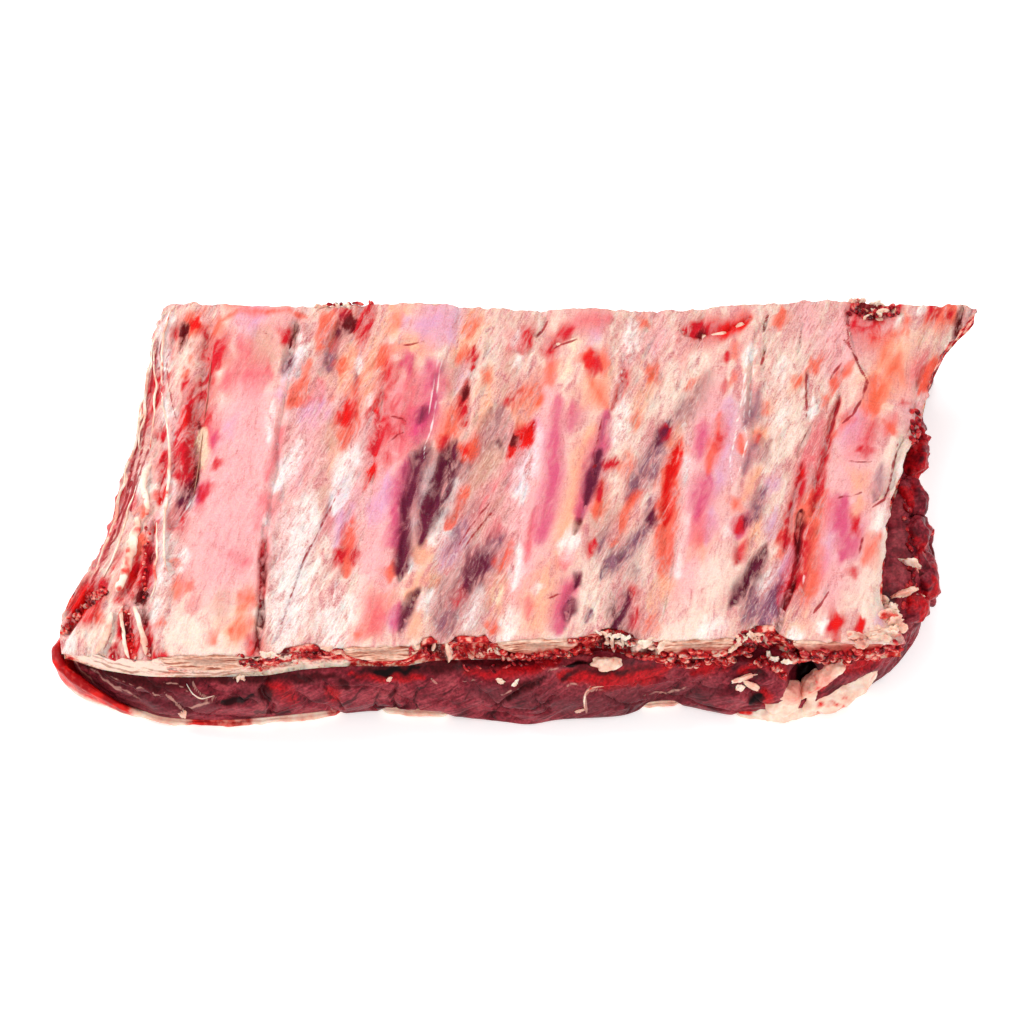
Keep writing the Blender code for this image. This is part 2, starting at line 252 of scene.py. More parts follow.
CAP_OVERHANG, CAP_TUCK, MUSCLE_HANG = 1.5, 1.9, 0.35
# Where the cap shows along the front, by x from and to. Elsewhere the muscle hangs down over it.
CAP_SHOWS = ((-240, -78), (-59, -29), (60, 76), (102, 160))
LIP_MIDDLE, LIP_REACH, LIP_HEIGHT = (-206.0, -76.0), 52.0, 15.0
# Where blood stains the edge of the cap along the front, by x from and to
RED_EDGE = ((-147, -116), (-84, -72))


def closed_curve(corners, count):
    """Points evenly spaced along a closed Catmull-Rom curve through the corners."""
    corners = np.array(corners, float)
    before, here, there, after = (np.roll(corners, -k, 0)[:, None] for k in (-1, 0, 1, 2))
    t = (np.arange(24) / 24)[None, :, None]
    fine = 0.5 * (
        2 * here
        + (there - before) * t
        + (2 * before - 5 * here + 4 * there - after) * t**2
        + (3 * here - before - 3 * there + after) * t**3
    )
    fine = fine.reshape(-1, 2)
    fine = np.vstack([fine, fine[:1]])
    run = np.concatenate([[0], np.cumsum(np.linalg.norm(np.diff(fine, axis=0), axis=1))])
    wanted = np.linspace(0, run[-1], count, endpoint=False)
    return np.stack([np.interp(wanted, run, fine[:, k]) for k in (0, 1)], 1)


def outward(curve):
    """Unit normals in plan that point out of an anticlockwise closed curve."""
    along = np.roll(curve, -2, axis=0) - np.roll(curve, 2, axis=0)
    normal = np.stack([along[:, 1], -along[:, 0]], 1)
    return normal / np.linalg.norm(normal, axis=1, keepdims=True)


def rings_faces(rings, count):
    """Faces of a body that is closed rings of points from its underside up, shut by one face at each end."""
    start = np.arange(rings)[:, None] * count
    here, after = np.arange(count), (np.arange(count) + 1) % count
    low, high = start[:-1], start[1:]
    sides = np.stack([low + here, low + after, high + after, high + here], -1).reshape(-1, 4).tolist()
    return [*sides, here[::-1].tolist(), ((rings - 1) * count + here).tolist()]


def lip_share(x, y):
    """How far the fat cap curls up here, from 0 to 1: most at the front left corner."""
    return 1 - ease(0, LIP_REACH, np.hypot(x - LIP_MIDDLE[0], y - LIP_MIDDLE[1]))


def lip_inner(lip):
    """How far outside the foot of the muscle the inner face of the lip stands."""
    return 3.6 * lip + 0.3


def within(spans, x, soft):
    """1 inside the spans, going to 0 outside them."""
    return np.max([ease(a - soft, a + soft, x) * (1 - ease(b - soft, b + soft, x)) for a, b in spans], 0)


foot = closed_curve(MUSCLE_PLAN, RIM_POINTS)
foot_normal = outward(foot)
lip = lip_share(*foot.T)
wave = 0.8 * layered(foot[:, 0] / 16.0, foot[:, 1] / 16.0, seed=3)
frill = 0.5 * noise(foot[:, 0] / 3.0, foot[:, 1] / 3.0, seed=4)
patches = ease(0.1, 0.5, noise(foot[:, 0] / 30.0, foot[:, 1] / 30.0, seed=6))
cap_shows = np.where(foot[:, 1] < -60, within(CAP_SHOWS, foot[:, 0], 3.0), patches)
cap_shows = np.maximum(cap_shows, ease(0.0, 0.2, lip))
overhang = (CAP_OVERHANG + CAP_TUCK) * cap_shows - CAP_TUCK
outer = lip_inner(lip) + (3.0 + 1.4 * lip) * lip + overhang * (1 - lip) + (wave + frill) * cap_shows
inner = np.minimum(lip_inner(lip), outer - 1.0)
rise = CAP_TOP - 1.2 + (LIP_HEIGHT + 2 * wave) * lip
cap_rings, knobs = [], []
for ring, (out, z) in enumerate((
    (outer - 6.0, 0.0 * rise),
    (outer - 2.5, 0.15 + 0.0 * rise),
    (outer - 1.0, 0.7 + 0.0 * rise),
    (outer - 0.2, 0.25 * rise + 0.8),
    (outer, 0.5 * rise + 0.6),
    (outer + 0.8 * lip, 0.8 * rise + 0.2),
    (outer + 1.3 * lip, 0.96 * rise),
    (outer + 0.6 * lip - 0.8, rise + 0.6),
    (inner + 1.2 * lip + 0.2, rise + 0.4),
    (inner + 0.9 * lip, 0.7 * rise + 1.4),
    (inner + 0.3 * lip - 0.3, 0.35 * rise + 2.8),
    (inner - 2.5 * (1 - lip) ** 20, np.full(RIM_POINTS, CAP_TOP)),
)):
    knobs.append(0.5 + 0.5 * layered(foot[:, 0] / 5.0, foot[:, 1] / 5.0, ring / 3.0, seed=8))
    out = out + 1.2 * lip * knobs[-1]
    cap_rings.append(np.column_stack([foot + foot_normal * out[:, None], np.broadcast_to(z, RIM_POINTS)]))
cap_points = np.concatenate(cap_rings)
cap_points[:, 2] = np.maximum(cap_points[:, 2], 0.0)
red_lip = np.maximum(ease(0.02, 0.3, lip), 0.8 * within(RED_EDGE, foot[:, 0], 5.0) * (foot[:, 1] < -60))
red_lip *= 1 + 0.3 * noise(foot[:, 0] / 9.0, foot[:, 1] / 9.0, seed=7)
blood = np.concatenate([ease(0.12, 0.4, k / 11) * red_lip for k in range(12)])
clot = blood * ease(0.9, 0.2, np.concatenate(knobs))
fat_cap = body("fat_cap_trim", cap_points, rings_faces(12, RIM_POINTS), {"blood": blood, "clot": clot})
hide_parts("fat_cap")


def stained(tree, base, ragged, stains):
    """Lays a colour over the base where the mesh has each mark: (colour, how crisp its edge is, how opaque)."""
    for mark, (code, crisp, opaque) in stains.items():
        strength = node(tree, "Attribute", attribute_name=mark).outputs["Fac"]
        inputs = {0: strength, 1: ragged, 2: strength}
        uneven = node(tree, "Math", inputs, operation="MULTIPLY_ADD").outputs["Value"]
        reach = 0.5 - 0.4 * crisp
        share = node(
            tree,
            "MapRange",
            {"Value": uneven, "From Min": 0.5 - reach, "From Max": 0.5 + reach, "To Max": opaque},
            interpolation_type="SMOOTHSTEP",
        )
        inputs = {"Fac": share.outputs["Result"], "Color1": base, "Color2": hex_colour(code)}
        base = node(tree, "MixRGB", inputs).outputs["Color"]
    return base


def drawn(tree, base, lines):
    """Draws thin lines over the base, where the mesh has each mark near 1: (colour, how opaque)."""
    for mark, (code, opaque) in lines.items():
        strength = node(tree, "Attribute", attribute_name=mark).outputs["Fac"]
        inputs = {"Value": strength, "From Min": 0.76, "From Max": 0.9, "To Max": opaque}
        share = node(tree, "MapRange", inputs).outputs["Result"]
        inputs = {"Fac": share, "Color1": base, "Color2": hex_colour(code)}
        base = node(tree, "MixRGB", inputs).outputs["Color"]
    return base


def colour_ramp(tree, value, *stops):
    """Turns a value to a colour that runs through (place, hex colour) stops."""
    ramp = node(tree, "ValToRGB", {"Fac": value})
    elements = ramp.color_ramp.elements
    while len(elements) < len(stops):
        elements.new(0.5)
    for element, (position, code) in zip(elements, stops):
        element.position, element.color = position, hex_colour(code)
    return ramp.outputs["Color"]


def fat_material():
    """Raw beef fat: waxy and cream, with pink where it is stained, and only a dull shine."""
    made = bpy.data.materials.new("raw_beef_fat")
    made.use_nodes = True
    tree = made.node_tree
    shader = tree.nodes["Principled BSDF"]
    where = node(tree, "TexCoord").outputs["Object"]
    cloud = node(tree, "TexNoise", {"Vector": where, "Scale": 70.0, "Detail": 5.0, "Roughness": 0.6})
    speck = node(tree, "TexNoise", {"Vector": where, "Scale": 420.0, "Detail": 3.0, "Roughness": 0.6})
    base = colour_ramp(tree, cloud.outputs["Fac"], (0.36, "E29080"), (0.48, "F0C2AC"), (0.6, "FAE2D0"))
    ragged = node(tree, "MapRange", {"Value": speck.outputs["Fac"], "To Min": -0.6, "To Max": 0.6})
    stains = {"blood": ("DE221C", 0.3, 1.0), "clot": ("9A0A10", 0.3, 0.95)}
    colour = stained(tree, base, ragged.outputs["Result"], stains)
    tree.links.new(colour, shader.inputs["Base Color"])
    bump = node(tree, "Bump", {"Height": speck.outputs["Fac"], "Strength": 0.5, "Distance": 0.0012})
    tree.links.new(bump.outputs["Normal"], shader.inputs["Normal"])
    shader.inputs["Roughness"].default_value = 0.32
    shader.inputs["Specular IOR Level"].default_value = 0.12
    shader.inputs["Subsurface Weight"].default_value = 0.3
    shader.inputs["Subsurface Scale"].default_value = 0.002
    return made


beef_fat = fat_material()
fat_cap.data.materials.append(beef_fat)

# The lumps of fat at the front right corner, where the knife left the fat of the cap thick, and the
# small grey and yellow flap that leans on them.
FAT_LUMPS = (
    ((123, -92, 12.5), (9.5, 8, 9), 10, -8),
    ((150, -84, 9), (23, 8.5, 8), 33, 0),
    ((139, -91, 24), (3.8, 5, 15), 0, 36),
    ((122, -93, 3.6), (20, 6.5, 4.4), 4, 0),
)


def turned(points, turn, lean):
    """Points leaned to the right round Y and then turned round Z, in degrees."""
    lean, turn = math.radians(lean), math.radians(turn)
    tilt = np.array(((math.cos(lean), 0, math.sin(lean)), (0, 1, 0), (-math.sin(lean), 0, math.cos(lean))))
    spin = np.array(((math.cos(turn), -math.sin(turn), 0), (math.sin(turn), math.cos(turn), 0), (0, 0, 1)))
    return points @ (spin @ tilt).T


def knob(middle, half, turn, lean, seed, rough=0.16, around=72, up=48):
    """Points and faces of one knobbly lump."""
    polar = math.pi * (np.arange(up) + 0.5) / up
    angle = 2 * math.pi * np.arange(around) / around
    ball = np.stack(
        [
            np.sin(polar)[:, None] * np.cos(angle),
            np.sin(polar)[:, None] * np.sin(angle),
            np.repeat(-np.cos(polar)[:, None], around, 1),
        ],
        -1,
    ).reshape(-1, 3)
    shape = np.array(middle) * 0.1
    bumps = 1 + rough * noise(*(ball * 1.7 + shape).T, seed=seed)
    sized = ball * np.array(half) * bumps[:, None]
    narrow = min(half)
    sized += 0.5 * rough * narrow * ball * layered(*(sized / (0.7 * narrow) + shape).T, seed=seed + 1)[:, None]
    points = turned(sized, turn, lean) + middle
    points[:, 2] = np.maximum(points[:, 2], 0.3)
    return points, rings_faces(up, around)


for i, (middle, half, turn, lean) in enumerate(FAT_LUMPS):
    points, faces = knob(middle, half, turn, lean, seed=10 + i, rough=0.3, around=90, up=60)
    stains = 0.9 * ease(0.1, 1.1, layered(*(points / 6).T, seed=5))
    lump = body(f"fat_lump_{i + 1}", points, faces, {"blood": stains})
    lump.data.materials.append(beef_fat)

# The plate muscle: the thick dark pad of meat under the ribs. The knife and the saw have left its side
# torn into lobes, with folds of silverskin and fat between them, and it stands out at the right.
MUSCLE_LEVELS, MUSCLE_RINGS = 44, 12
SIDE_LEAN, GRAIN_SLANT = 5.0, 28.0
HOLLOW = ((131, -92, 22), (8.5, 12, 13))


def muscle_relief(x, y, z):
    """How far the side of the muscle lies proud, in mm: lobes, creases between them and grain."""
    lobes = 2.2 * noise(x / 34.0, y / 30.0, z / 26.0, seed=21) + 1.0 * noise(x / 13.0, y / 13.0, z / 9.0, seed=22)
    crease = np.abs(noise(x / 24.0 + z / 20.0, y / 21.0, z / 15.0, seed=23))
    split = np.abs(noise(x / 11.0 - z / 10.0, y / 11.0, z / 22.0, seed=24))
    grain = 0.35 * layered(x / 3.4 - z / 3.0, y / 3.4, z / 9.0, seed=25)
    return lobes - 2.0 * (1 - ease(0.0, 0.08, crease)) - 0.9 * (1 - ease(0.0, 0.08, split)) + grain


# Creases of the muscle's side: half width in pixels of the view, rise in mm, and the pixels they run through
MUSCLE_FURROWS = (
    (5, -3.0, (268, 678), (261, 692), (272, 706), (268, 716)),
    (5, -2.6, (212, 704), (236, 699), (256, 702)),
    (3, -1.4, (186, 668), (192, 684), (206, 697), (226, 697), (240, 690)),
    (3, 1.2, (190, 686), (204, 700), (222, 700)),
    (4, -1.6, (80, 665), (110, 684), (150, 698), (190, 710)),
    (4, 1.4, (90, 662), (120, 680), (165, 694)),
    (3, -1.2, (120, 672), (150, 684), (176, 698)),
    (4, -2.0, (324, 678), (330, 694), (344, 708)),
    (4, -2.0, (296, 690), (312, 704), (340, 712)),
    (3, -2.4, (396, 682), (392, 696), (396, 710)),
    (3, -1.4, (376, 690), (376, 706)),
    (3, -1.6, (418, 688), (414, 700), (420, 712)),
    (3, -1.2, (456, 690), (446, 702)),
    (3, -2.6, (551, 676), (530, 686), (506, 700), (492, 709)),
    (3, -1.4, (492, 709), (505, 714), (530, 712)),
    (3, -1.2, (585, 686), (560, 694), (538, 708)),
    (4, 1.4, (596, 682), (640, 686), (690, 678), (720, 668)),
    (3, -1.6, (694, 668), (672, 690), (650, 708)),
    (3, -1.4, (712, 672), (690, 692), (672, 704)),
    (3, -1.6, (716, 690), (734, 684), (748, 672)),
    (3, 1.0, (640, 700), (668, 700), (690, 704)),
    (8, -3.5, (748, 698), (766, 694)),
    (6, -3.0, (757, 676), (764, 676)),
)
# Marks on the muscle's side, as they show in the view: half width in pixels, strength, and the pixels that
# the mark runs through. Blood is dark blood with painted shade, in the folds and under the rib meat.
# A mark fades out at SOFT times its half width.
SOFT = 1.9
SEEN_FIBRES = np.array([-0.33, 0.944])
MUSCLE_MARKS = {
    "plum": (
        (16, 0.8, (95, 680), (150, 700), (215, 705)),
        (10, 0.7, (240, 690), (262, 700)),
        (14, 0.8, (470, 690), (560, 705), (650, 700), (720, 690)),
    ),
    "red": (
        (10, 0.8, (268, 683), (282, 690), (296, 700)),
        (9, 0.7, (326, 690), (338, 700)),
        (5, 1.0, (350, 675), (385, 676), (425, 678)),
        (7, 1.0, (462, 672), (500, 674), (530, 668), (560, 660)),
        (9, 1.0, (560, 675), (600, 678), (650, 675), (668, 668)),
        (6, 1.0, (668, 664), (700, 662), (722, 660)),
        (8, 0.9, (752, 660), (775, 664), (786, 676)),
        (6, 0.9, (690, 672), (732, 664)),
        (6, 1.0, (738, 673), (760, 668)),
        (8, 0.9, (764, 690), (768, 704)),
        (9, 0.9, (840, 668), (862, 662), (884, 655)),
        (7, 0.9, (812, 690), (830, 680)),
    ),
    # Dark blood, and painted shade in the folds and along the top under the rib meat
    "blood": (
        (8, 1.0, (66, 650), (110, 672), (160, 685), (200, 681)),
        (6, 1.0, (200, 677), (262, 677), (335, 677)),
        (8, 0.9, (340, 677), (347, 688)),
        (7, 1.0, (360, 669), (400, 669), (470, 665), (535, 662)),
        (4, 0.8, (562, 680), (580, 669), (620, 673), (655, 667)),
        (7, 0.9, (660, 657), (740, 654), (785, 660)),
        (7, 1.0, (262, 686), (270, 698)),
        (6, 0.9, (226, 702), (244, 699)),
        (5, 1.0, (545, 678), (522, 689), (506, 701)),
        (5, 1.0, (750, 672), (766, 677)),
        (6, 1.0, (750, 701), (764, 699)),
    ),
    # Near-black painted shadow in the holes, the deep creases and the gap under the rib meat
    "painted_hole_shadow": (
        (15, 1.0, (806, 652), (806, 668), (802, 684)),
        (2.5, 1.0, (755, 673), (763, 675)),
        (3.5, 1.0, (750, 703), (762, 696)),
        (3, 0.9, (360, 669), (392, 671), (420, 668)),
        (3, 0.9, (216, 703), (236, 700), (254, 696)),
        (2.5, 0.9, (566, 666), (582, 663), (600, 664)),
    ),
}
# Thin dark lines of painted shade in the creases, and pale threads, of the same side, by strength, and of any strength
# within THIN pixels
THIN = 6.0
MUSCLE_CRACKS = (
    (1.05, (527, 687), (510, 697), (495, 708), (490, 714), (496, 720)),
    (0.95, (560, 700), (547, 703), (527, 712), (520, 713)),
    (0.92, (565, 696), (577, 698), (587, 702)),
    (0.92, (643, 693), (632, 703), (620, 708)),
    (1.0, (458, 685), (450, 690), (443, 695)),
    (1.05, (430, 682), (423, 688), (417, 692), (414, 703), (418, 707)),
    (1.0, (381, 688), (376, 697), (374, 705)),
    (1.1, (398, 684), (390, 697), (394, 707), (397, 713)),
    (1.1, (362, 688), (353, 700), (340, 706)),
    (1.0, (323, 685), (330, 698), (340, 702)),
    (1.1, (215, 704), (231, 702), (255, 697)),
    (1.1, (255, 711), (270, 711), (291, 711)),
    (1.0, (262, 686), (269, 697), (266, 708)),
    (0.95, (300, 684), (292, 696), (296, 706)),
    (0.95, (110, 676), (126, 690), (150, 702)),
    (0.92, (176, 672), (184, 690), (196, 700)),
    (0.92, (205, 672), (209, 684), (214, 692)),
    (0.95, (694, 668), (672, 690), (650, 708)),
    (0.95, (712, 672), (690, 692), (672, 704)),
    (0.92, (724, 684), (705, 700), (690, 706)),
    (0.92, (472, 690), (464, 702), (452, 710)),
    (0.92, (604, 694), (618, 702), (640, 704)),
)
MUSCLE_THREADS = (
    (0.98, (90, 668), (109, 683), (130, 695), (142, 700)),
    (0.95, (97, 673), (113, 687), (123, 694)),
    (0.95, (75, 661), (85, 673), (96, 682)),
    (0.95, (104, 670), (124, 682), (146, 690)),
    (0.98, (151, 685), (154, 692), (161, 697)),
    (1.05, (165, 693), (175, 702), (184, 709), (196, 706), (211, 702)),
    (1.1, (192, 681), (198, 690), (206, 697), (217, 697)),
    (1.0, (227, 671), (234, 678), (239, 680)),
    (0.95, (160, 680), (178, 684), (190, 692)),
    (0.95, (330, 707), (335, 713), (345, 717)),
    (1.0, (437, 682), (430, 678)),
    (0.92, (543, 678), (553, 670), (567, 665)),
    (0.92, (460, 681), (477, 682), (493, 684)),
    (0.95, (560, 687), (577, 685), (593, 687)),
    (1.1, (602, 688), (590, 690), (584, 698), (586, 712)),
    (0.92, (500, 694), (520, 690)),
    (0.92, (640, 697), (668, 692), (690, 684)),
)


def along_line(line, seen):
    """The distance in pixels of each seen place from a line, the side it is on, and how far along it is."""
    line = np.array(line, float)
    near = np.full(len(seen), np.inf)
    side, run = np.zeros(len(seen)), np.zeros(len(seen))
    for i, (a, b) in enumerate(zip(line, line[1:])):
        step = b - a
        t = np.clip((seen - a) @ step / (step @ step), 0, 1)
        off = seen - (a + t[:, None] * step)
        distance = np.hypot(*off.T)
        closer = distance < near
        near = np.where(closer, distance, near)
        side = np.where(closer, np.sign(step[0] * off[:, 1] - step[1] * off[:, 0]), side)
        run = np.where(closer, (i + t) / (len(line) - 1), run)
    return near, side, run


def close_to(width, line, seen):
    """Indices of the seen places that lie within a width of a line's box."""
    low, high = np.min(line, 0) - width, np.max(line, 0) + width
    return np.flatnonzero(np.all((seen > low) & (seen < high), 1))


def marks_at(strokes, seen, pressed=0.0):
    """For each mark, how strongly its strokes cover each seen place, from 0 to 1.

    The places are pressed together along the fibres by a share, which draws the strokes out that way.
    """
    press = np.eye(2) - pressed * np.outer(SEEN_FIBRES, SEEN_FIBRES)
    seen = seen @ press
    marks = {}
    for mark, lines in strokes.items():
        cover = np.zeros(len(seen))
        for width, strength, *line in lines:
            if len(line) == 1:
                line = [line[0], (line[0][0], line[0][1] + 1)]
            line = np.array(line) @ press
            close = close_to(SOFT * width, line, seen)
            near, _, run = along_line(line, seen[close])
            reach = SOFT * width * (0.35 + 0.65 * np.sqrt(np.sin(math.pi * np.clip(run, 0, 1)).clip(0)))
            cover[close] = np.maximum(cover[close], strength * (1 - near / reach))
        marks[mark] = cover
    return marks


def thin_lines(lines, seen):
    """How near each seen place is to thin lines: 1 on them, and 0 from THIN pixels off."""
    near = np.zeros(len(seen))
    for strength, *line in lines:
        close = close_to(THIN, line, seen)
        off, _, run = along_line(line, seen[close])
        taper = 1 - 0.12 * (2 * run - 1) ** 4
        broken = 1 + 0.12 * noise(*(seen[close] / 4.0).T, seed=40)
        near[close] = np.maximum(near[close], strength * taper * broken * (1 - off / THIN))
    return near


def unsteady(seen, reach, size=9.0):
    """Seen places moved about by up to reach pixels, in waves of a size, so that drawn edges are uneven."""
    u, v = seen.T / size
    across = layered(u, v / 2.2, seed=41)
    along = layered(u, v / 2.2, seed=43)
    return seen + reach * np.stack([across, 1.6 * along], -1)


def rise_of(strokes, seen):
    """How far strokes raise or sink each seen place, in mm. Each stroke tapers towards its ends."""
    rise = np.zeros(len(seen))
    for width, most, *line in strokes:
        close = close_to(width, line, seen)
        near, _, run = along_line(line, seen[close])
        taper = 0.5 + 0.5 * np.sqrt(np.clip(np.sin(math.pi * run), 0, 1))
        rise[close] += most * (1 - ease(0.0, 1.0, near / (width * taper)))
    return rise


low_edge = MUSCLE_HANG + (CAP_TOP + GAP - MUSCLE_HANG) * cap_shows
side_rings = [
    np.column_stack([foot - 1.2 * foot_normal, np.full(RIM_POINTS, CAP_TOP + GAP)]),
    np.column_stack([foot - 0.9 * foot_normal, low_edge]),
]
for level in range(MUSCLE_LEVELS):
    share = level / (MUSCLE_LEVELS - 1)
    bulge = 3.2 * max(math.sin(math.pi * share), 0.0) ** 0.7 - SIDE_LEAN * share - 2.5 * max(share - 0.8, 0) / 0.2
    z = low_edge + (seam_height(foot[:, 0]) - low_edge) * share
    fade = ease(0.0, 0.1, share)
    most = lip_inner(lip) - GAP + 6 * (1 - lip) ** 6
    seen = unsteady(seen_at(np.column_stack([foot + foot_normal * bulge, z])), 1.5)
    relief = muscle_relief(foot[:, 0], foot[:, 1], z) + rise_of(MUSCLE_FURROWS, seen)
    relief *= 1 + 0.8 * ease(140, 180, foot[:, 0])
    tucked = 5.0 * ease(25, 60, foot[:, 1]) * ease(120, 160, foot[:, 0])
    out = np.minimum(bulge + fade * relief - tucked, most)
    rim = foot + foot_normal * out[:, None]
    side_rings.append(np.column_stack([rim, np.minimum(z, seam_height(rim[:, 0]))]))
rim = side_rings[-1][:, :2]
centre = rim.mean(0)
for ring in range(1, MUSCLE_RINGS + 1):
    inset = centre + (rim - centre) * (1 - 0.16 * ring / MUSCLE_RINGS)
    dip = 0.4 * (1 + layered(inset[:, 0] / 7.0, inset[:, 1] / 7.0, seed=26))
    side_rings.append(np.column_stack([inset, seam_height(inset[:, 0]) - dip]))
muscle_points = np.concatenate(side_rings)
from_hollow = np.linalg.norm((muscle_points - HOLLOW[0]) / HOLLOW[1], axis=1)
muscle_points[:, 1] += 14.0 * (1 - ease(0.4, 1.15, from_hollow))
seen = unsteady(seen_at(muscle_points), 1.5)
marks = marks_at(MUSCLE_MARKS, seen)
marks["crack"] = thin_lines(MUSCLE_CRACKS, seen)
marks["thread"] = thin_lines(MUSCLE_THREADS, seen)
faces = rings_faces(2 + MUSCLE_LEVELS + MUSCLE_RINGS, RIM_POINTS)
plate_muscle = body("plate_muscle_meat", muscle_points, faces, marks)
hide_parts("plate_muscle")


def muscle_material():
    """Raw beef muscle: dark red going to purple, fine grained, and moist, so that it shines."""
    made = bpy.data.materials.new("raw_beef_muscle")
    made.use_nodes = True
    tree = made.node_tree
    shader = tree.nodes["Principled BSDF"]
    where = node(tree, "TexCoord").outputs["Object"]
    # The grain is about 1 mm thick and 12 mm long, and rises to the right
    slant = node(
        tree,
        "Mapping",
        {"Vector": where, "Rotation": (0.0, -math.radians(GRAIN_SLANT), 0.0), "Scale": (0.012, 0.004, 0.0012)},
        vector_type="TEXTURE",
    )
    cloud = node(tree, "TexNoise", {"Vector": where, "Scale": 80.0, "Detail": 5.0})
    grain = node(
        tree, "TexNoise", {"Vector": slant.outputs["Vector"], "Scale": 1.0, "Detail": 5.0, "Distortion": 0.4}
    )
    mixed = node(tree, "MixRGB", {"Fac": 0.25, "Color1": cloud.outputs["Fac"], "Color2": grain.outputs["Fac"]})
    base = colour_ramp(
        tree, mixed.outputs["Color"], (0.36, "50101A"), (0.46, "7A1E2A"), (0.55, "94343E"), (0.66, "9C3E44")
    )
    inputs = {"Value": mixed.outputs["Color"], "From Min": 0.35, "From Max": 0.65, "To Min": -0.5, "To Max": 0.5}
    ragged = node(tree, "MapRange", inputs)
    stains = {
        "plum": ("5C2028", 0.1, 0.8),
        "red": ("B01018", 0.3, 0.95),
        # Blood is dark blood and painted shade in the folds and under the rib meat
        "blood": ("46080F", 0.3, 1.0),
        # Near-black painted shadow in the holes and gaps
        "painted_hole_shadow": ("140204", 0.5, 1.0),
    }
    colour = stained(tree, base, ragged.outputs["Result"], stains)
    # The grain and its fine mottle show in all of it
    fine = node(tree, "TexNoise", {"Vector": where, "Scale": 800.0, "Detail": 4.0}).outputs["Fac"]
    for pattern, low, high, darkest, lightest in (
        (grain.outputs["Fac"], 0.36, 0.6, 0.84, 1.08),
        (fine, 0.36, 0.64, 0.65, 1.3),
    ):
        inputs = {"Value": pattern, "From Min": low, "From Max": high, "To Min": darkest, "To Max": lightest}
        shade = node(tree, "MapRange", inputs).outputs["Result"]
        inputs = {"Fac": 1.0, "Color1": colour, "Color2": shade}
        colour = node(tree, "MixRGB", inputs, blend_type="MULTIPLY").outputs["Color"]
    # The cracks are painted shade, drawn dark in the creases; the threads are pale silverskin
    colour = drawn(tree, colour, {"crack": ("34060C", 0.7), "thread": ("D8A090", 0.55)})
    tree.links.new(colour, shader.inputs["Base Color"])
    bump = node(tree, "Bump", {"Height": mixed.outputs["Color"], "Strength": 0.8, "Distance": 0.0012})
    tree.links.new(bump.outputs["Normal"], shader.inputs["Normal"])
    shader.inputs["Roughness"].default_value = 0.3
    shader.inputs["Specular IOR Level"].default_value = 0.1
    shader.inputs["Subsurface Weight"].default_value = 0.1
    shader.inputs["Subsurface Scale"].default_value = 0.002
    return made


beef_muscle = muscle_material()
plate_muscle.data.materials.append(beef_muscle)

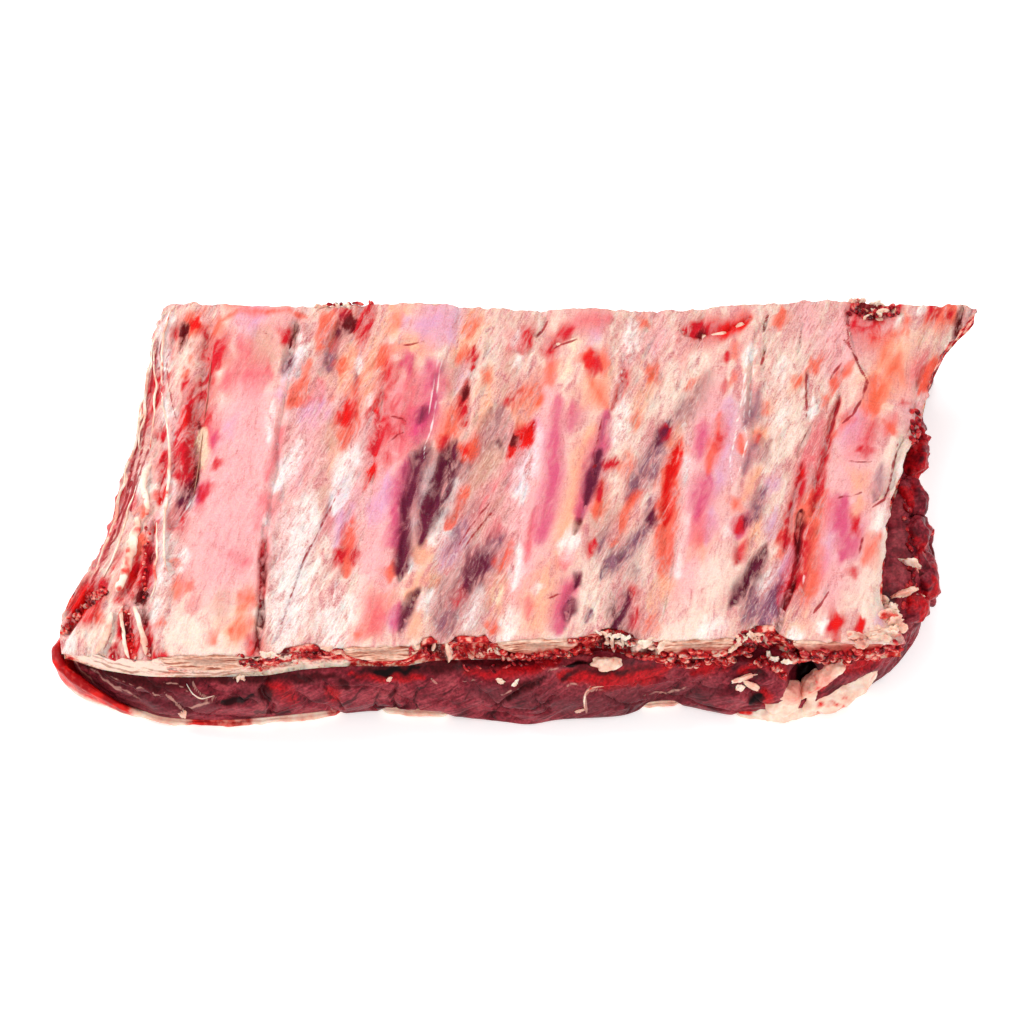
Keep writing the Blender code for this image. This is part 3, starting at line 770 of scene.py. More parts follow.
# The bone side: the membrane sinks beside the ribs and into slits, stands up in ropes of fat, and folds
# over in flaps. Each furrow has its half width in pixels of the view, its rise in mm, and the pixels that
# it runs through. A flap stands proud on the left of its line as that runs down the view, and then fades.
FURROWS = (
    (13, -2.6, (207, 335), (206, 372), (202, 398), (196, 420), (195, 460), (192, 488), (180, 508), (174, 525)),
    (6, -1.2, (174, 525), (171, 560), (170, 600), (162, 655)),
    (12, 2.2, (186, 408), (181, 440), (183, 470)),
    (7, 1.2, (300, 318), (299, 345), (292, 368), (290, 400)),
    (8, -2.4, (294, 322), (291, 345), (284, 366)),
    (5, -1.0, (289, 395), (281, 440), (275, 480), (266, 535)),
    (6, 0.9, (300, 440), (285, 475), (272, 510)),
    (5, -3.0, (263, 535), (261, 570), (261, 600), (259, 630), (257, 656)),
    (6, 1.0, (268, 540), (268, 580), (267, 620), (264, 652)),
    (10, -2.4, (350, 322), (334, 340), (327, 362)),
    (3, -0.5, (338, 492), (320, 528), (303, 563), (290, 600), (281, 625), (274, 640)),
    (3, 0.5, (341, 494), (323, 530), (306, 565), (293, 602)),
    (7, 0.9, (368, 395), (361, 430), (350, 455), (343, 480), (338, 505)),
    (6, -0.9, (352, 510), (347, 545), (346, 580)),
    (9, -2.0, (436, 372), (434, 402), (426, 435), (418, 462), (412, 490), (406, 520), (404, 550), (400, 585)),
    (3, 0.9, (445, 345), (439, 370), (436, 402), (431, 430), (426, 448), (424, 462)),
    (16, -1.3, (415, 365), (418, 395), (408, 440)),
    (4, -0.8, (400, 344), (425, 342)),
    (9, -2.2, (452, 440), (447, 462), (438, 490), (428, 518)),
    (5, 1.0, (430, 470), (426, 490), (417, 520)),
    (6, 1.0, (464, 484), (452, 503), (438, 530)),
    (7, 1.0, (437, 578), (421, 588), (405, 603)),
    (6, -1.4, (420, 596), (408, 612), (398, 632)),
    (5, -1.2, (478, 350), (474, 370), (466, 388), (458, 402)),
    (9, 1.2, (484, 330), (480, 360), (476, 400), (470, 425)),
    (8, -1.4, (532, 420), (522, 436), (508, 456)),
    (4, -1.6, (548, 318), (544, 330), (536, 338)),
    (4, -1.3, (551, 350), (563, 343), (580, 338)),
    (5, 1.2, (520, 332), (535, 340), (552, 338)),
    (4, -1.0, (514, 352), (528, 352), (545, 350)),
    (9, 0.7, (535, 430), (522, 470), (516, 520), (508, 580), (502, 630)),
    (4, -0.6, (537, 508), (531, 540), (527, 562)),
    (8, -1.8, (603, 420), (599, 445), (594, 470), (588, 492), (579, 515), (572, 538)),
    (7, -1.6, (575, 573), (567, 600), (565, 632)),
    (4, -1.2, (628, 348), (626, 375), (619, 390), (612, 404)),
    (6, 1.1, (633, 315), (631, 345), (630, 372)),
    (7, -1.2, (672, 418), (660, 436), (652, 460), (637, 482)),
    (6, -1.0, (655, 512), (640, 535), (620, 560), (602, 584)),
    (9, -1.6, (632, 598), (618, 616), (610, 632)),
    (8, -1.2, (680, 442), (671, 470), (668, 510), (665, 560)),
    (5, -2.2, (682, 330), (700, 332), (722, 329), (748, 323)),
    (4, 1.9, (752, 333), (748, 370), (745, 400), (743, 420), (748, 440), (741, 462), (734, 490)),
    (3, 1.2, (737, 412), (735, 438), (730, 460), (731, 485)),
    (5, -1.4, (755, 352), (751, 400), (752, 432)),
    (5, -1.0, (763, 352), (760, 366)),
    (5, -1.2, (766, 314), (762, 330)),
    (3, -1.2, (801, 322), (800, 350)),
    (3, -1.2, (807, 366), (806, 392), (807, 420)),
    (4, -1.6, (809, 428), (803, 443), (798, 458)),
    (5, 1.4, (811, 398), (811, 420)),
    (5, -1.4, (741, 518), (736, 540), (737, 562)),
    (7, -1.6, (764, 548), (752, 570), (738, 595), (731, 612)),
    (5, -2.0, (842, 392), (836, 412), (830, 436), (823, 465), (816, 500), (808, 520)),
    (5, -2.0, (803, 462), (798, 490), (792, 520), (784, 552)),
    (6, -3.0, (803, 515), (799, 545), (795, 565), (788, 592), (781, 618), (775, 645)),
    (12, 1.6, (812, 505), (808, 545), (804, 590)),
    (7, 0.9, (822, 430), (812, 460), (806, 485)),
    (3, -0.9, (812, 614), (821, 604), (829, 588)),
    (3, -0.7, (863, 535), (859, 556)),
    (3, -0.7, (834, 498), (846, 497), (863, 491)),
    (3, -0.6, (846, 461), (872, 461)),
    (4, -2.0, (899, 438), (893, 465), (891, 485), (884, 500), (872, 507)),
    (10, 1.0, (884, 515), (876, 550), (872, 600)),
    (12, -3.0, (858, 311), (876, 319), (893, 311)),
    (6, 1.2, (866, 335), (884, 334), (900, 324)),
    (5, 1.8, (876, 318), (886, 314)),
    (4, -2.6, (964, 303), (961, 318), (957, 338)),
    (8, 1.6, (848, 630), (830, 636), (822, 628)),
    (6, -2.6, (184, 325), (181, 345), (182, 352)),
    (4, 1.5, (172, 306), (164, 328), (160, 355), (160, 385)),
    (4, -1.2, (157, 340), (154, 372), (149, 400), (144, 430), (135, 470)),
    (4, 1.4, (163, 395), (168, 430), (167, 470), (166, 520), (166, 575)),
    (5, -1.6, (161, 425), (161, 460), (161, 500)),
    (7, 1.8, (148, 462), (144, 490), (148, 512)),
    (5, -1.4, (134, 480), (128, 505), (118, 535), (108, 565)),
    (5, -3.0, (152, 522), (149, 548), (148, 575), (144, 602)),
    (9, 2.2, (136, 520), (130, 550), (123, 575), (118, 592)),
    (5, -2.4, (140, 555), (134, 580), (122, 598)),
    (8, -2.6, (108, 582), (88, 602), (68, 630)),
    (6, -2.8, (126, 608), (130, 632), (134, 655)),
    (5, 1.4, (134, 605), (140, 630), (146, 652)),
    (5, -2.0, (141, 612), (145, 635), (150, 660)),
    (6, -2.4, (112, 646), (118, 658)),
    (6, 1.4, (112, 612), (104, 635), (92, 650)),
)
FLAPS = (
    (16, 1.8, (842, 304), (847, 325), (851, 350), (858, 364), (866, 378), (863, 398), (853, 415), (840, 424)),
    (22, 1.2, (294, 322), (290, 350), (288, 395), (280, 440), (272, 500), (263, 540), (258, 656)),
    (10, 0.9, (443, 345), (437, 372), (434, 402), (427, 440), (424, 460)),
    (14, 1.0, (206, 340), (202, 395), (194, 430), (193, 485), (176, 520), (170, 600), (166, 655)),
    (12, 1.0, (900, 440), (893, 470), (888, 498)),
    (16, 1.1, (756, 320), (750, 370), (748, 420), (750, 445), (738, 480)),
)
LEAN_OF_RIBS, LEAN_OF_FIBRES = 8.0, 25.0
LIE_OVER = 51.5
CORNER, CORNER_ROLL = (-168, -152), 4.0
UNSTEADY, UNSTEADY_SIZE, DRAWN_OUT = 3.4, 24.0, 0.4


def crown(x, y):
    """How far the ribs swell the bone side, in mm."""
    total = np.zeros(np.shape(x))
    for rib in RIBS:
        middle, half = rib_line(rib, y)
        across = np.abs(x - middle) / half
        total = np.maximum(total, BONE_CROWN * np.clip(1 - across**2, 0, 1) ** 0.6)
    return total


def seen_on_top(x, y):
    """The pixel, moved about a little, where each point of the bone side shows."""
    flat = np.stack([x, y, flat_top(x, y)], -1).reshape(-1, 3)
    return unsteady(seen_at(flat), UNSTEADY, UNSTEADY_SIZE)


def bone_side(x, y):
    """Height of the bone side: the ribs, the furrows and flaps, and the fibres of the meat."""
    shape = np.shape(x)
    seen = seen_on_top(x, y)
    height = (flat_top(x, y) + crown(x, y)).ravel()
    height += rise_of(FURROWS, seen)
    for reach, rise, *line in FLAPS:
        close = close_to(reach, line, seen)
        near, side, run = along_line(line, seen[close])
        end = ease(0, 0.1, run) * (1 - ease(0.9, 1, run))
        height[close] += rise * end * np.where(side > 0, 1 - ease(0.1, 1.0, near / reach), 0.0)
    x, y = np.ravel(x), np.ravel(y)
    lean = math.radians(LEAN_OF_FIBRES)
    across, along = x * math.cos(lean) - y * math.sin(lean), x * math.sin(lean) + y * math.cos(lean)
    on_rib = ease(0.2, 1.2, crown(x, y))
    bundles = 1 - 2 * np.abs(layered(across / 4.2, along / 34.0, seed=44, octaves=2))
    fibres = 0.55 * bundles + 0.35 * layered(across / 2.4, along / 13.0, seed=48, octaves=2)
    streaks = 0.3 * layered(x / 4.0 - y / 30.0, y / 24.0, seed=46) + 0.14 * noise(x / 6.0, y / 2.1, seed=49)
    from_left = x - spline(LEFT_EDGE, y)
    layers = (1 - ease(16, 30, from_left)) * (0.9 * noise(from_left / 2.3, y / 11.0, seed=50) + 0.5 * bundles)
    height += fibres * (1 - on_rib) + streaks * on_rib + layers
    height -= CORNER_ROLL * (1 - ease(0, 7, y - place(x, 0.0))) * (1 - ease(*CORNER, x))
    height += 0.35 * layered(x / 10.0, y / 16.0, seed=45) + 0.14 * noise(x / 2.3, y / 3.1, seed=47)
    # The highest ropes and flaps lie over, so that nothing stands much above the ribs
    height = np.where(height > LIE_OVER, LIE_OVER + 0.35 * (height - LIE_OVER), height)
    return height.reshape(shape)


# The rib bones: flat, lens-shaped ribs sawn through at the front and the back. Each saw cut shows a
# pale hard rim round bone that is spongy and a little brown, and stands just proud of the meat.
MEMBRANE = 0.8
BONE_ROWS, BONE_SIDE, CUT_RINGS = 40, 49, 12
BONE_PROUD, SIDE_SKIN = 0.6, 3.6
# Meat and blood smeared over the sawn ends, placed as the marks on the muscle are
BONE_MARKS = {
    "red": (
        (5, 0.9, (500, 655), (545, 655), (596, 647)),
        (3, 0.9, (566, 643), (592, 640)),
        (5, 0.9, (645, 655), (700, 653), (752, 648)),
        (10, 1.0, (780, 655), (830, 656), (890, 649)),
    ),
    "blood": (
        (4, 1.0, (500, 661), (545, 660), (592, 652)),
        (4, 1.0, (648, 660), (700, 659), (750, 653)),
        (3, 0.8, (800, 650), (815, 654)),
        (3, 0.8, (850, 652), (872, 650)),
        (4, 1.0, (795, 663), (830, 666), (880, 659)),
    ),
}


def rib_underside(rib, depth, gap, count):
    """Underside of a rib from left to right in one row, or with a gap the groove that it lies in."""
    y = row_y(depth)
    middle, half = rib_line(rib, y)
    rim = flat_top(middle, y) - BONE_RIM_DEPTH
    across = -np.cos(math.pi * np.arange(count) / (count - 1))
    drop = (BONE_DEPTH + gap) * np.sqrt(np.clip(1 - np.abs(across) ** 2.4, 0, 1))
    x = np.minimum(middle + (half + gap) * across, spline(RIGHT_EDGE, y) - SIDE_SKIN + gap)
    return np.column_stack([x, place(x, depth), rim - drop])


def rib_bone(number, rib, material):
    """Makes one sawn rib, of rings from the front cut to the back with rough cut faces. Gives its points."""
    rings = []
    for row in range(BONE_ROWS + 1):
        depth = row / BONE_ROWS
        under = rib_underside(rib, depth, 0.0, BONE_SIDE)
        top = under[1:-1][::-1].copy()
        top[:, 2] = np.maximum(bone_side(top[:, 0], top[:, 1]) - MEMBRANE, top[:, 2] + 0.2)
        ring = np.vstack([under, top])
        ring[:, 1] += {0: -BONE_PROUD, BONE_ROWS: BONE_PROUD}.get(row, 0.0)
        rings.append(ring)
    for cut, out in ((rings[0], -1), (rings[-1], 1)):
        face = []
        for k in range(1, CUT_RINGS):
            inset = cut.mean(0) + (cut - cut.mean(0)) * (1 - k / CUT_RINGS)
            spongy = ease(0.12, 0.35, k / CUT_RINGS)
            pits = 0.35 * layered(inset[:, 0] / 1.3, inset[:, 2] / 1.1, seed=50 + number)
            inset[:, 1] += out * (0.25 * (1 - spongy) + spongy * (pits - 0.45))
            face.append(inset)
        rings = [*face[::-1], *rings] if out < 0 else [*rings, *face]
    steps = np.arange(len(rings))
    inward = np.maximum(CUT_RINGS - 1 - steps, steps - (len(rings) - CUT_RINGS)).clip(0) / (CUT_RINGS - 1)
    faces = [face[::-1] for face in rings_faces(len(rings), len(rings[0]))]
    points = np.concatenate(rings)
    marks = marks_at(BONE_MARKS, unsteady(seen_at(points), 1.5))
    marks["heart"] = np.repeat(0.75 * inward, len(rings[0]))
    made = body(f"sawn_rib_{number}", points, faces, marks)
    made.data.materials.append(material)
    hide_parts(f"rib_bone_{number}")
    return points


def bone_material():
    """Raw sawn bone: cream with a waxy shine, and stained brown in layers where it is spongy."""
    made = bpy.data.materials.new("raw_rib_bone")
    made.use_nodes = True
    tree = made.node_tree
    shader = tree.nodes["Principled BSDF"]
    where = node(tree, "TexCoord").outputs["Object"]
    layers = node(tree, "Mapping", {"Vector": where, "Scale": (90.0, 90.0, 900.0)})
    streak = node(tree, "TexNoise", {"Vector": layers.outputs["Vector"], "Scale": 1.0, "Detail": 5.0})
    ragged = node(tree, "MapRange", {"Value": streak.outputs["Fac"], "To Min": -1.0, "To Max": 1.0})
    base = colour_ramp(tree, streak.outputs["Fac"], (0.36, "9A4E3C"), (0.45, "D8967C"), (0.57, "F4CCB6"))
    stains = {"heart": ("8E5444", 0.4, 0.6), "red": ("B0141A", 0.3, 1.0), "blood": ("500810", 0.4, 1.0)}
    colour = stained(tree, base, ragged.outputs["Result"], stains)
    # Pores and shreds show as a mottle in all of it
    fine = node(tree, "TexNoise", {"Vector": where, "Scale": 500.0, "Detail": 4.0}).outputs["Fac"]
    inputs = {"Value": fine, "From Min": 0.38, "From Max": 0.62, "To Min": 0.8, "To Max": 1.08}
    shade = node(tree, "MapRange", inputs).outputs["Result"]
    inputs = {"Fac": 1.0, "Color1": colour, "Color2": shade}
    colour = node(tree, "MixRGB", inputs, blend_type="MULTIPLY").outputs["Color"]
    tree.links.new(colour, shader.inputs["Base Color"])
    bump = node(tree, "Bump", {"Height": streak.outputs["Fac"], "Strength": 0.5, "Distance": 0.0006})
    tree.links.new(bump.outputs["Normal"], shader.inputs["Normal"])
    shader.inputs["Roughness"].default_value = 0.35
    shader.inputs["Specular IOR Level"].default_value = 0.1
    shader.inputs["Subsurface Weight"].default_value = 0.15
    shader.inputs["Subsurface Scale"].default_value = 0.002
    return made


raw_bone = bone_material()
bone_points = np.concatenate([rib_bone(number, rib, raw_bone) for number, rib in enumerate(RIBS, 1)])

# The rib meat: the meat and fat between the ribs and under them. The saw tore it at the front and back
# cuts, where it lies a little behind the bones, and the knife left layers of fat along its left side.
MEAT_ROWS, BETWEEN_POINTS, GROOVE_POINTS, WALL_LEVELS = 96, 48, 22, 28
# Marks on the sides of the meat, placed as the muscle's are. Fat is cream, and blood dark and clotted, and in the torn
# pockets painted shade as well.
CUT_MARKS = {
    "fat": (
        (7, 1.0, (70, 652), (100, 664), (130, 674), (165, 679), (215, 674), (262, 672)),
        (9, 1.0, (90, 655), (130, 664), (165, 668)),
        (8, 0.8, (150, 660), (200, 666), (255, 664)),
        (6, 0.9, (262, 674), (300, 667), (350, 664)),
        (4, 0.8, (266, 652), (272, 657)),
        (5, 0.9, (405, 668), (450, 669), (500, 661)),
        (4, 0.9, (447, 647), (449, 662)),
        (4, 0.7, (434, 650), (440, 646)),
        (3, 0.8, (505, 660), (540, 656), (560, 650)),
        (3, 0.9, (605, 638), (609, 646)),
        (3, 0.9, (613, 638), (616, 646)),
        (3, 0.9, (621, 638), (625, 648)),
        (7, 0.9, (632, 648), (645, 644), (652, 650)),
        (3, 0.8, (655, 648), (660, 655)),
        (5, 0.8, (738, 640), (748, 634), (760, 640), (770, 652)),
        (6, 0.9, (895, 640), (905, 630)),
    ),
    "blood": (
        (9, 0.8, (912, 410), (908, 440), (912, 480), (918, 520), (920, 560), (914, 600)),
        # These lie in the torn pockets, where the dark is painted shade as well as clotted blood
        (7, 1.0, (797, 652), (802, 676)),
        (6, 0.9, (282, 655), (290, 650)),
        (6, 0.9, (424, 650), (437, 648), (445, 660)),
        (5, 0.9, (560, 654), (600, 656)),
        (9, 1.0, (600, 643), (628, 640), (596, 650)),
        (6, 0.8, (640, 655), (655, 650)),
        (8, 0.9, (742, 642), (765, 648)),
    ),
}


# Layers of the fat that show as thin lines on the front cut, as the muscle's do
CUT_CRACKS = (
    (1.0, (92, 660), (120, 669), (150, 674)),
    (0.95, (140, 668), (180, 673), (236, 671)),
    (1.0, (172, 676), (215, 675), (262, 671)),
    (0.95, (84, 652), (110, 662), (138, 667)),
    (0.95, (240, 668), (272, 667), (300, 665)),
    (0.95, (300, 668), (340, 668), (360, 667)),
    (1.0, (425, 667), (460, 667), (490, 661)),
)
# Pockets torn into the front cut and the right side, as they show in the view
CUT_FURROWS = (
    (8, -4.0, (294, 653), (325, 656)),
    (9, -5.0, (408, 652), (420, 654), (434, 652)),
    (8, -4.5, (456, 652), (488, 650)),
    (9, -5.0, (600, 640), (624, 644)),
    (6, -3.0, (566, 662), (592, 664)),
    (6, -3.0, (640, 656), (656, 655)),
    (7, -3.5, (246, 662), (258, 666)),
    (7, -2.0, (700, 656), (728, 656)),
    (10, 2.2, (738, 642), (752, 636), (766, 644)),
    (9, -6.0, (797, 655), (802, 676)),
    (7, -3.0, (780, 660), (786, 672)),
)


def meat_row(depth):
    """Upper line of the meat across one row: the bone side between the ribs, and a groove for each."""
    y = row_y(depth)
    grooves = [rib_underside(rib, depth, GAP, GROOVE_POINTS) for rib in RIBS]
    starts = [spline(LEFT_EDGE, y), *(groove[-1][0] for groove in grooves)]
    ends = [*(groove[0][0] for groove in grooves), spline(RIGHT_EDGE, y)]
    line = []
    for k, (start, end) in enumerate(zip(starts, ends)):
        x = np.linspace(start, end, BETWEEN_POINTS)
        y_here = place(x, depth)
        line.append(np.column_stack([x, y_here, bone_side(x, y_here) - MEMBRANE]))
        if k < len(grooves):
            line.append(grooves[k][1:-1])
    return np.concatenate(line)


def cut_crag(x, z, seed):
    """How far the torn meat of a cut lies behind the bones, in mm: pits, shreds and thin layers."""
    pits = 1.6 + 1.3 * layered(x / 6.0, z / 5.0, seed=seed) + 0.7 * noise(x / 1.7, z / 3.5, seed=seed + 1)
    return pits + 0.6 * noise(x / 15.0, z / 1.1, seed=seed + 2)


meat_rows = np.stack([meat_row(row / MEAT_ROWS) for row in range(MEAT_ROWS + 1)])
rows, columns = meat_rows.shape[:2]


def border(rows, columns):
    """Rows and columns of the points round the edge of a grid, anticlockwise from the front left corner."""
    row, column = np.meshgrid(np.arange(rows), np.arange(columns), indexing="ij")
    return np.stack(
        [
            np.concatenate([part[0, :-1], part[:-1, -1], part[-1, :0:-1], part[:0:-1, 0]])
            for part in (row, column)
        ]
    )


edge_row, edge_column = border(rows, columns)
rim_points = meat_rows[edge_row, edge_column]
walls = []
for level in range(1, WALL_LEVELS + 1):
    share = level / WALL_LEVELS
    wall = rim_points.copy()
    wall[:, 2] += (seam_height(wall[:, 0]) + GAP - wall[:, 2]) * share
    deep = min(share * 4, 1.0) * (level < WALL_LEVELS)
    side = 1.3 * layered(wall[:, 1] / 7.0, wall[:, 2] / 4.0, seed=65) + 1.2
    smooth_fat = 0.2 + 0.8 * ease(-140, -112, wall[:, 0])
    torn = smooth_fat * cut_crag(wall[:, 0], wall[:, 2], 61) - rise_of(CUT_FURROWS, unsteady(seen_at(wall), 1.5))
    wall[:, 1] += deep * (edge_row == 0) * torn
    wall[:, 1] -= deep * (edge_row == rows - 1) * cut_crag(wall[:, 0], wall[:, 2], 63)
    wall[:, 0] += deep * side * ((edge_column == 0).astype(float) - (edge_column == columns - 1))
    walls.append(wall)
meat_points = np.concatenate([meat_rows.reshape(-1, 3), *walls])
faces = grid_faces(rows, columns)
upper = edge_row * columns + edge_column
count = len(upper)
here, after = np.arange(count), (np.arange(count) + 1) % count
for level in range(WALL_LEVELS):
    lower = rows * columns + level * count + here
    faces += np.stack([lower, np.roll(lower, -1), upper[after], upper[here]], -1).tolist()
    upper = lower
faces.append(upper[::-1].tolist())
marks = marks_at(CUT_MARKS, unsteady(seen_at(meat_points), 1.2))
marks["crack"] = thin_lines(CUT_CRACKS, unsteady(seen_at(meat_points), 0.8))
rib_meat = body("rib_meat_slab", meat_points, faces, marks)
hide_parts("rib_meat")


def torn_meat_material(name, fat_and_glint_share, *ramp):
    """Raw meat torn by the saw: bright and dark red, wet, with cream fat and pale threads in it."""
    made = bpy.data.materials.new(name)
    made.use_nodes = True
    tree = made.node_tree
    shader = tree.nodes["Principled BSDF"]
    where = node(tree, "TexCoord").outputs["Object"]
    stretched = node(tree, "Mapping", {"Vector": where, "Scale": (230.0, 230.0, 480.0)})
    cloud = node(tree, "TexNoise", {"Vector": stretched.outputs["Vector"], "Scale": 1.0, "Detail": 5.0})
    fine = node(tree, "TexNoise", {"Vector": where, "Scale": 700.0, "Detail": 3.0})
    base = colour_ramp(tree, cloud.outputs["Fac"], *ramp)
    ragged = node(tree, "MapRange", {"Value": fine.outputs["Fac"], "To Min": -0.8, "To Max": 0.8})
    # Blood is dark clotted blood, and on the front cut painted shade in the torn pockets
    stains = {"fat": ("F6D8C6", 0.5, 0.93), "blood": ("5A060E", 0.5, 1.0)}
    colour = stained(tree, base, ragged.outputs["Result"], stains)
    colour = drawn(tree, colour, {"crack": ("A2604A", 0.7)})
    # Wet bits of fat stand out white, and with them painted glints where the wet meat catches the light
    fat_and_glint_specks = node(tree, "MapRange", {"Value": fine.outputs["Fac"], "From Min": 0.6, "From Max": 0.68, "To Max": fat_and_glint_share})
    inputs = {"Fac": fat_and_glint_specks.outputs["Result"], "Color1": colour, "Color2": hex_colour("FCE4DA")}
    colour = node(tree, "MixRGB", inputs).outputs["Color"]
    tree.links.new(colour, shader.inputs["Base Color"])
    bump = node(tree, "Bump", {"Height": fine.outputs["Fac"], "Strength": 0.6, "Distance": 0.001})
    tree.links.new(bump.outputs["Normal"], shader.inputs["Normal"])
    shader.inputs["Roughness"].default_value = 0.28
    shader.inputs["Specular IOR Level"].default_value = 0.1
    shader.inputs["Subsurface Weight"].default_value = 0.4
    shader.inputs["Subsurface Scale"].default_value = 0.003
    return made


torn_meat = torn_meat_material(
    "torn_rib_meat", 0.25, (0.38, "5A060E"), (0.46, "A8121A"), (0.54, "D43430"), (0.64, "F4B4A0")
)
rib_meat.data.materials.append(torn_meat)
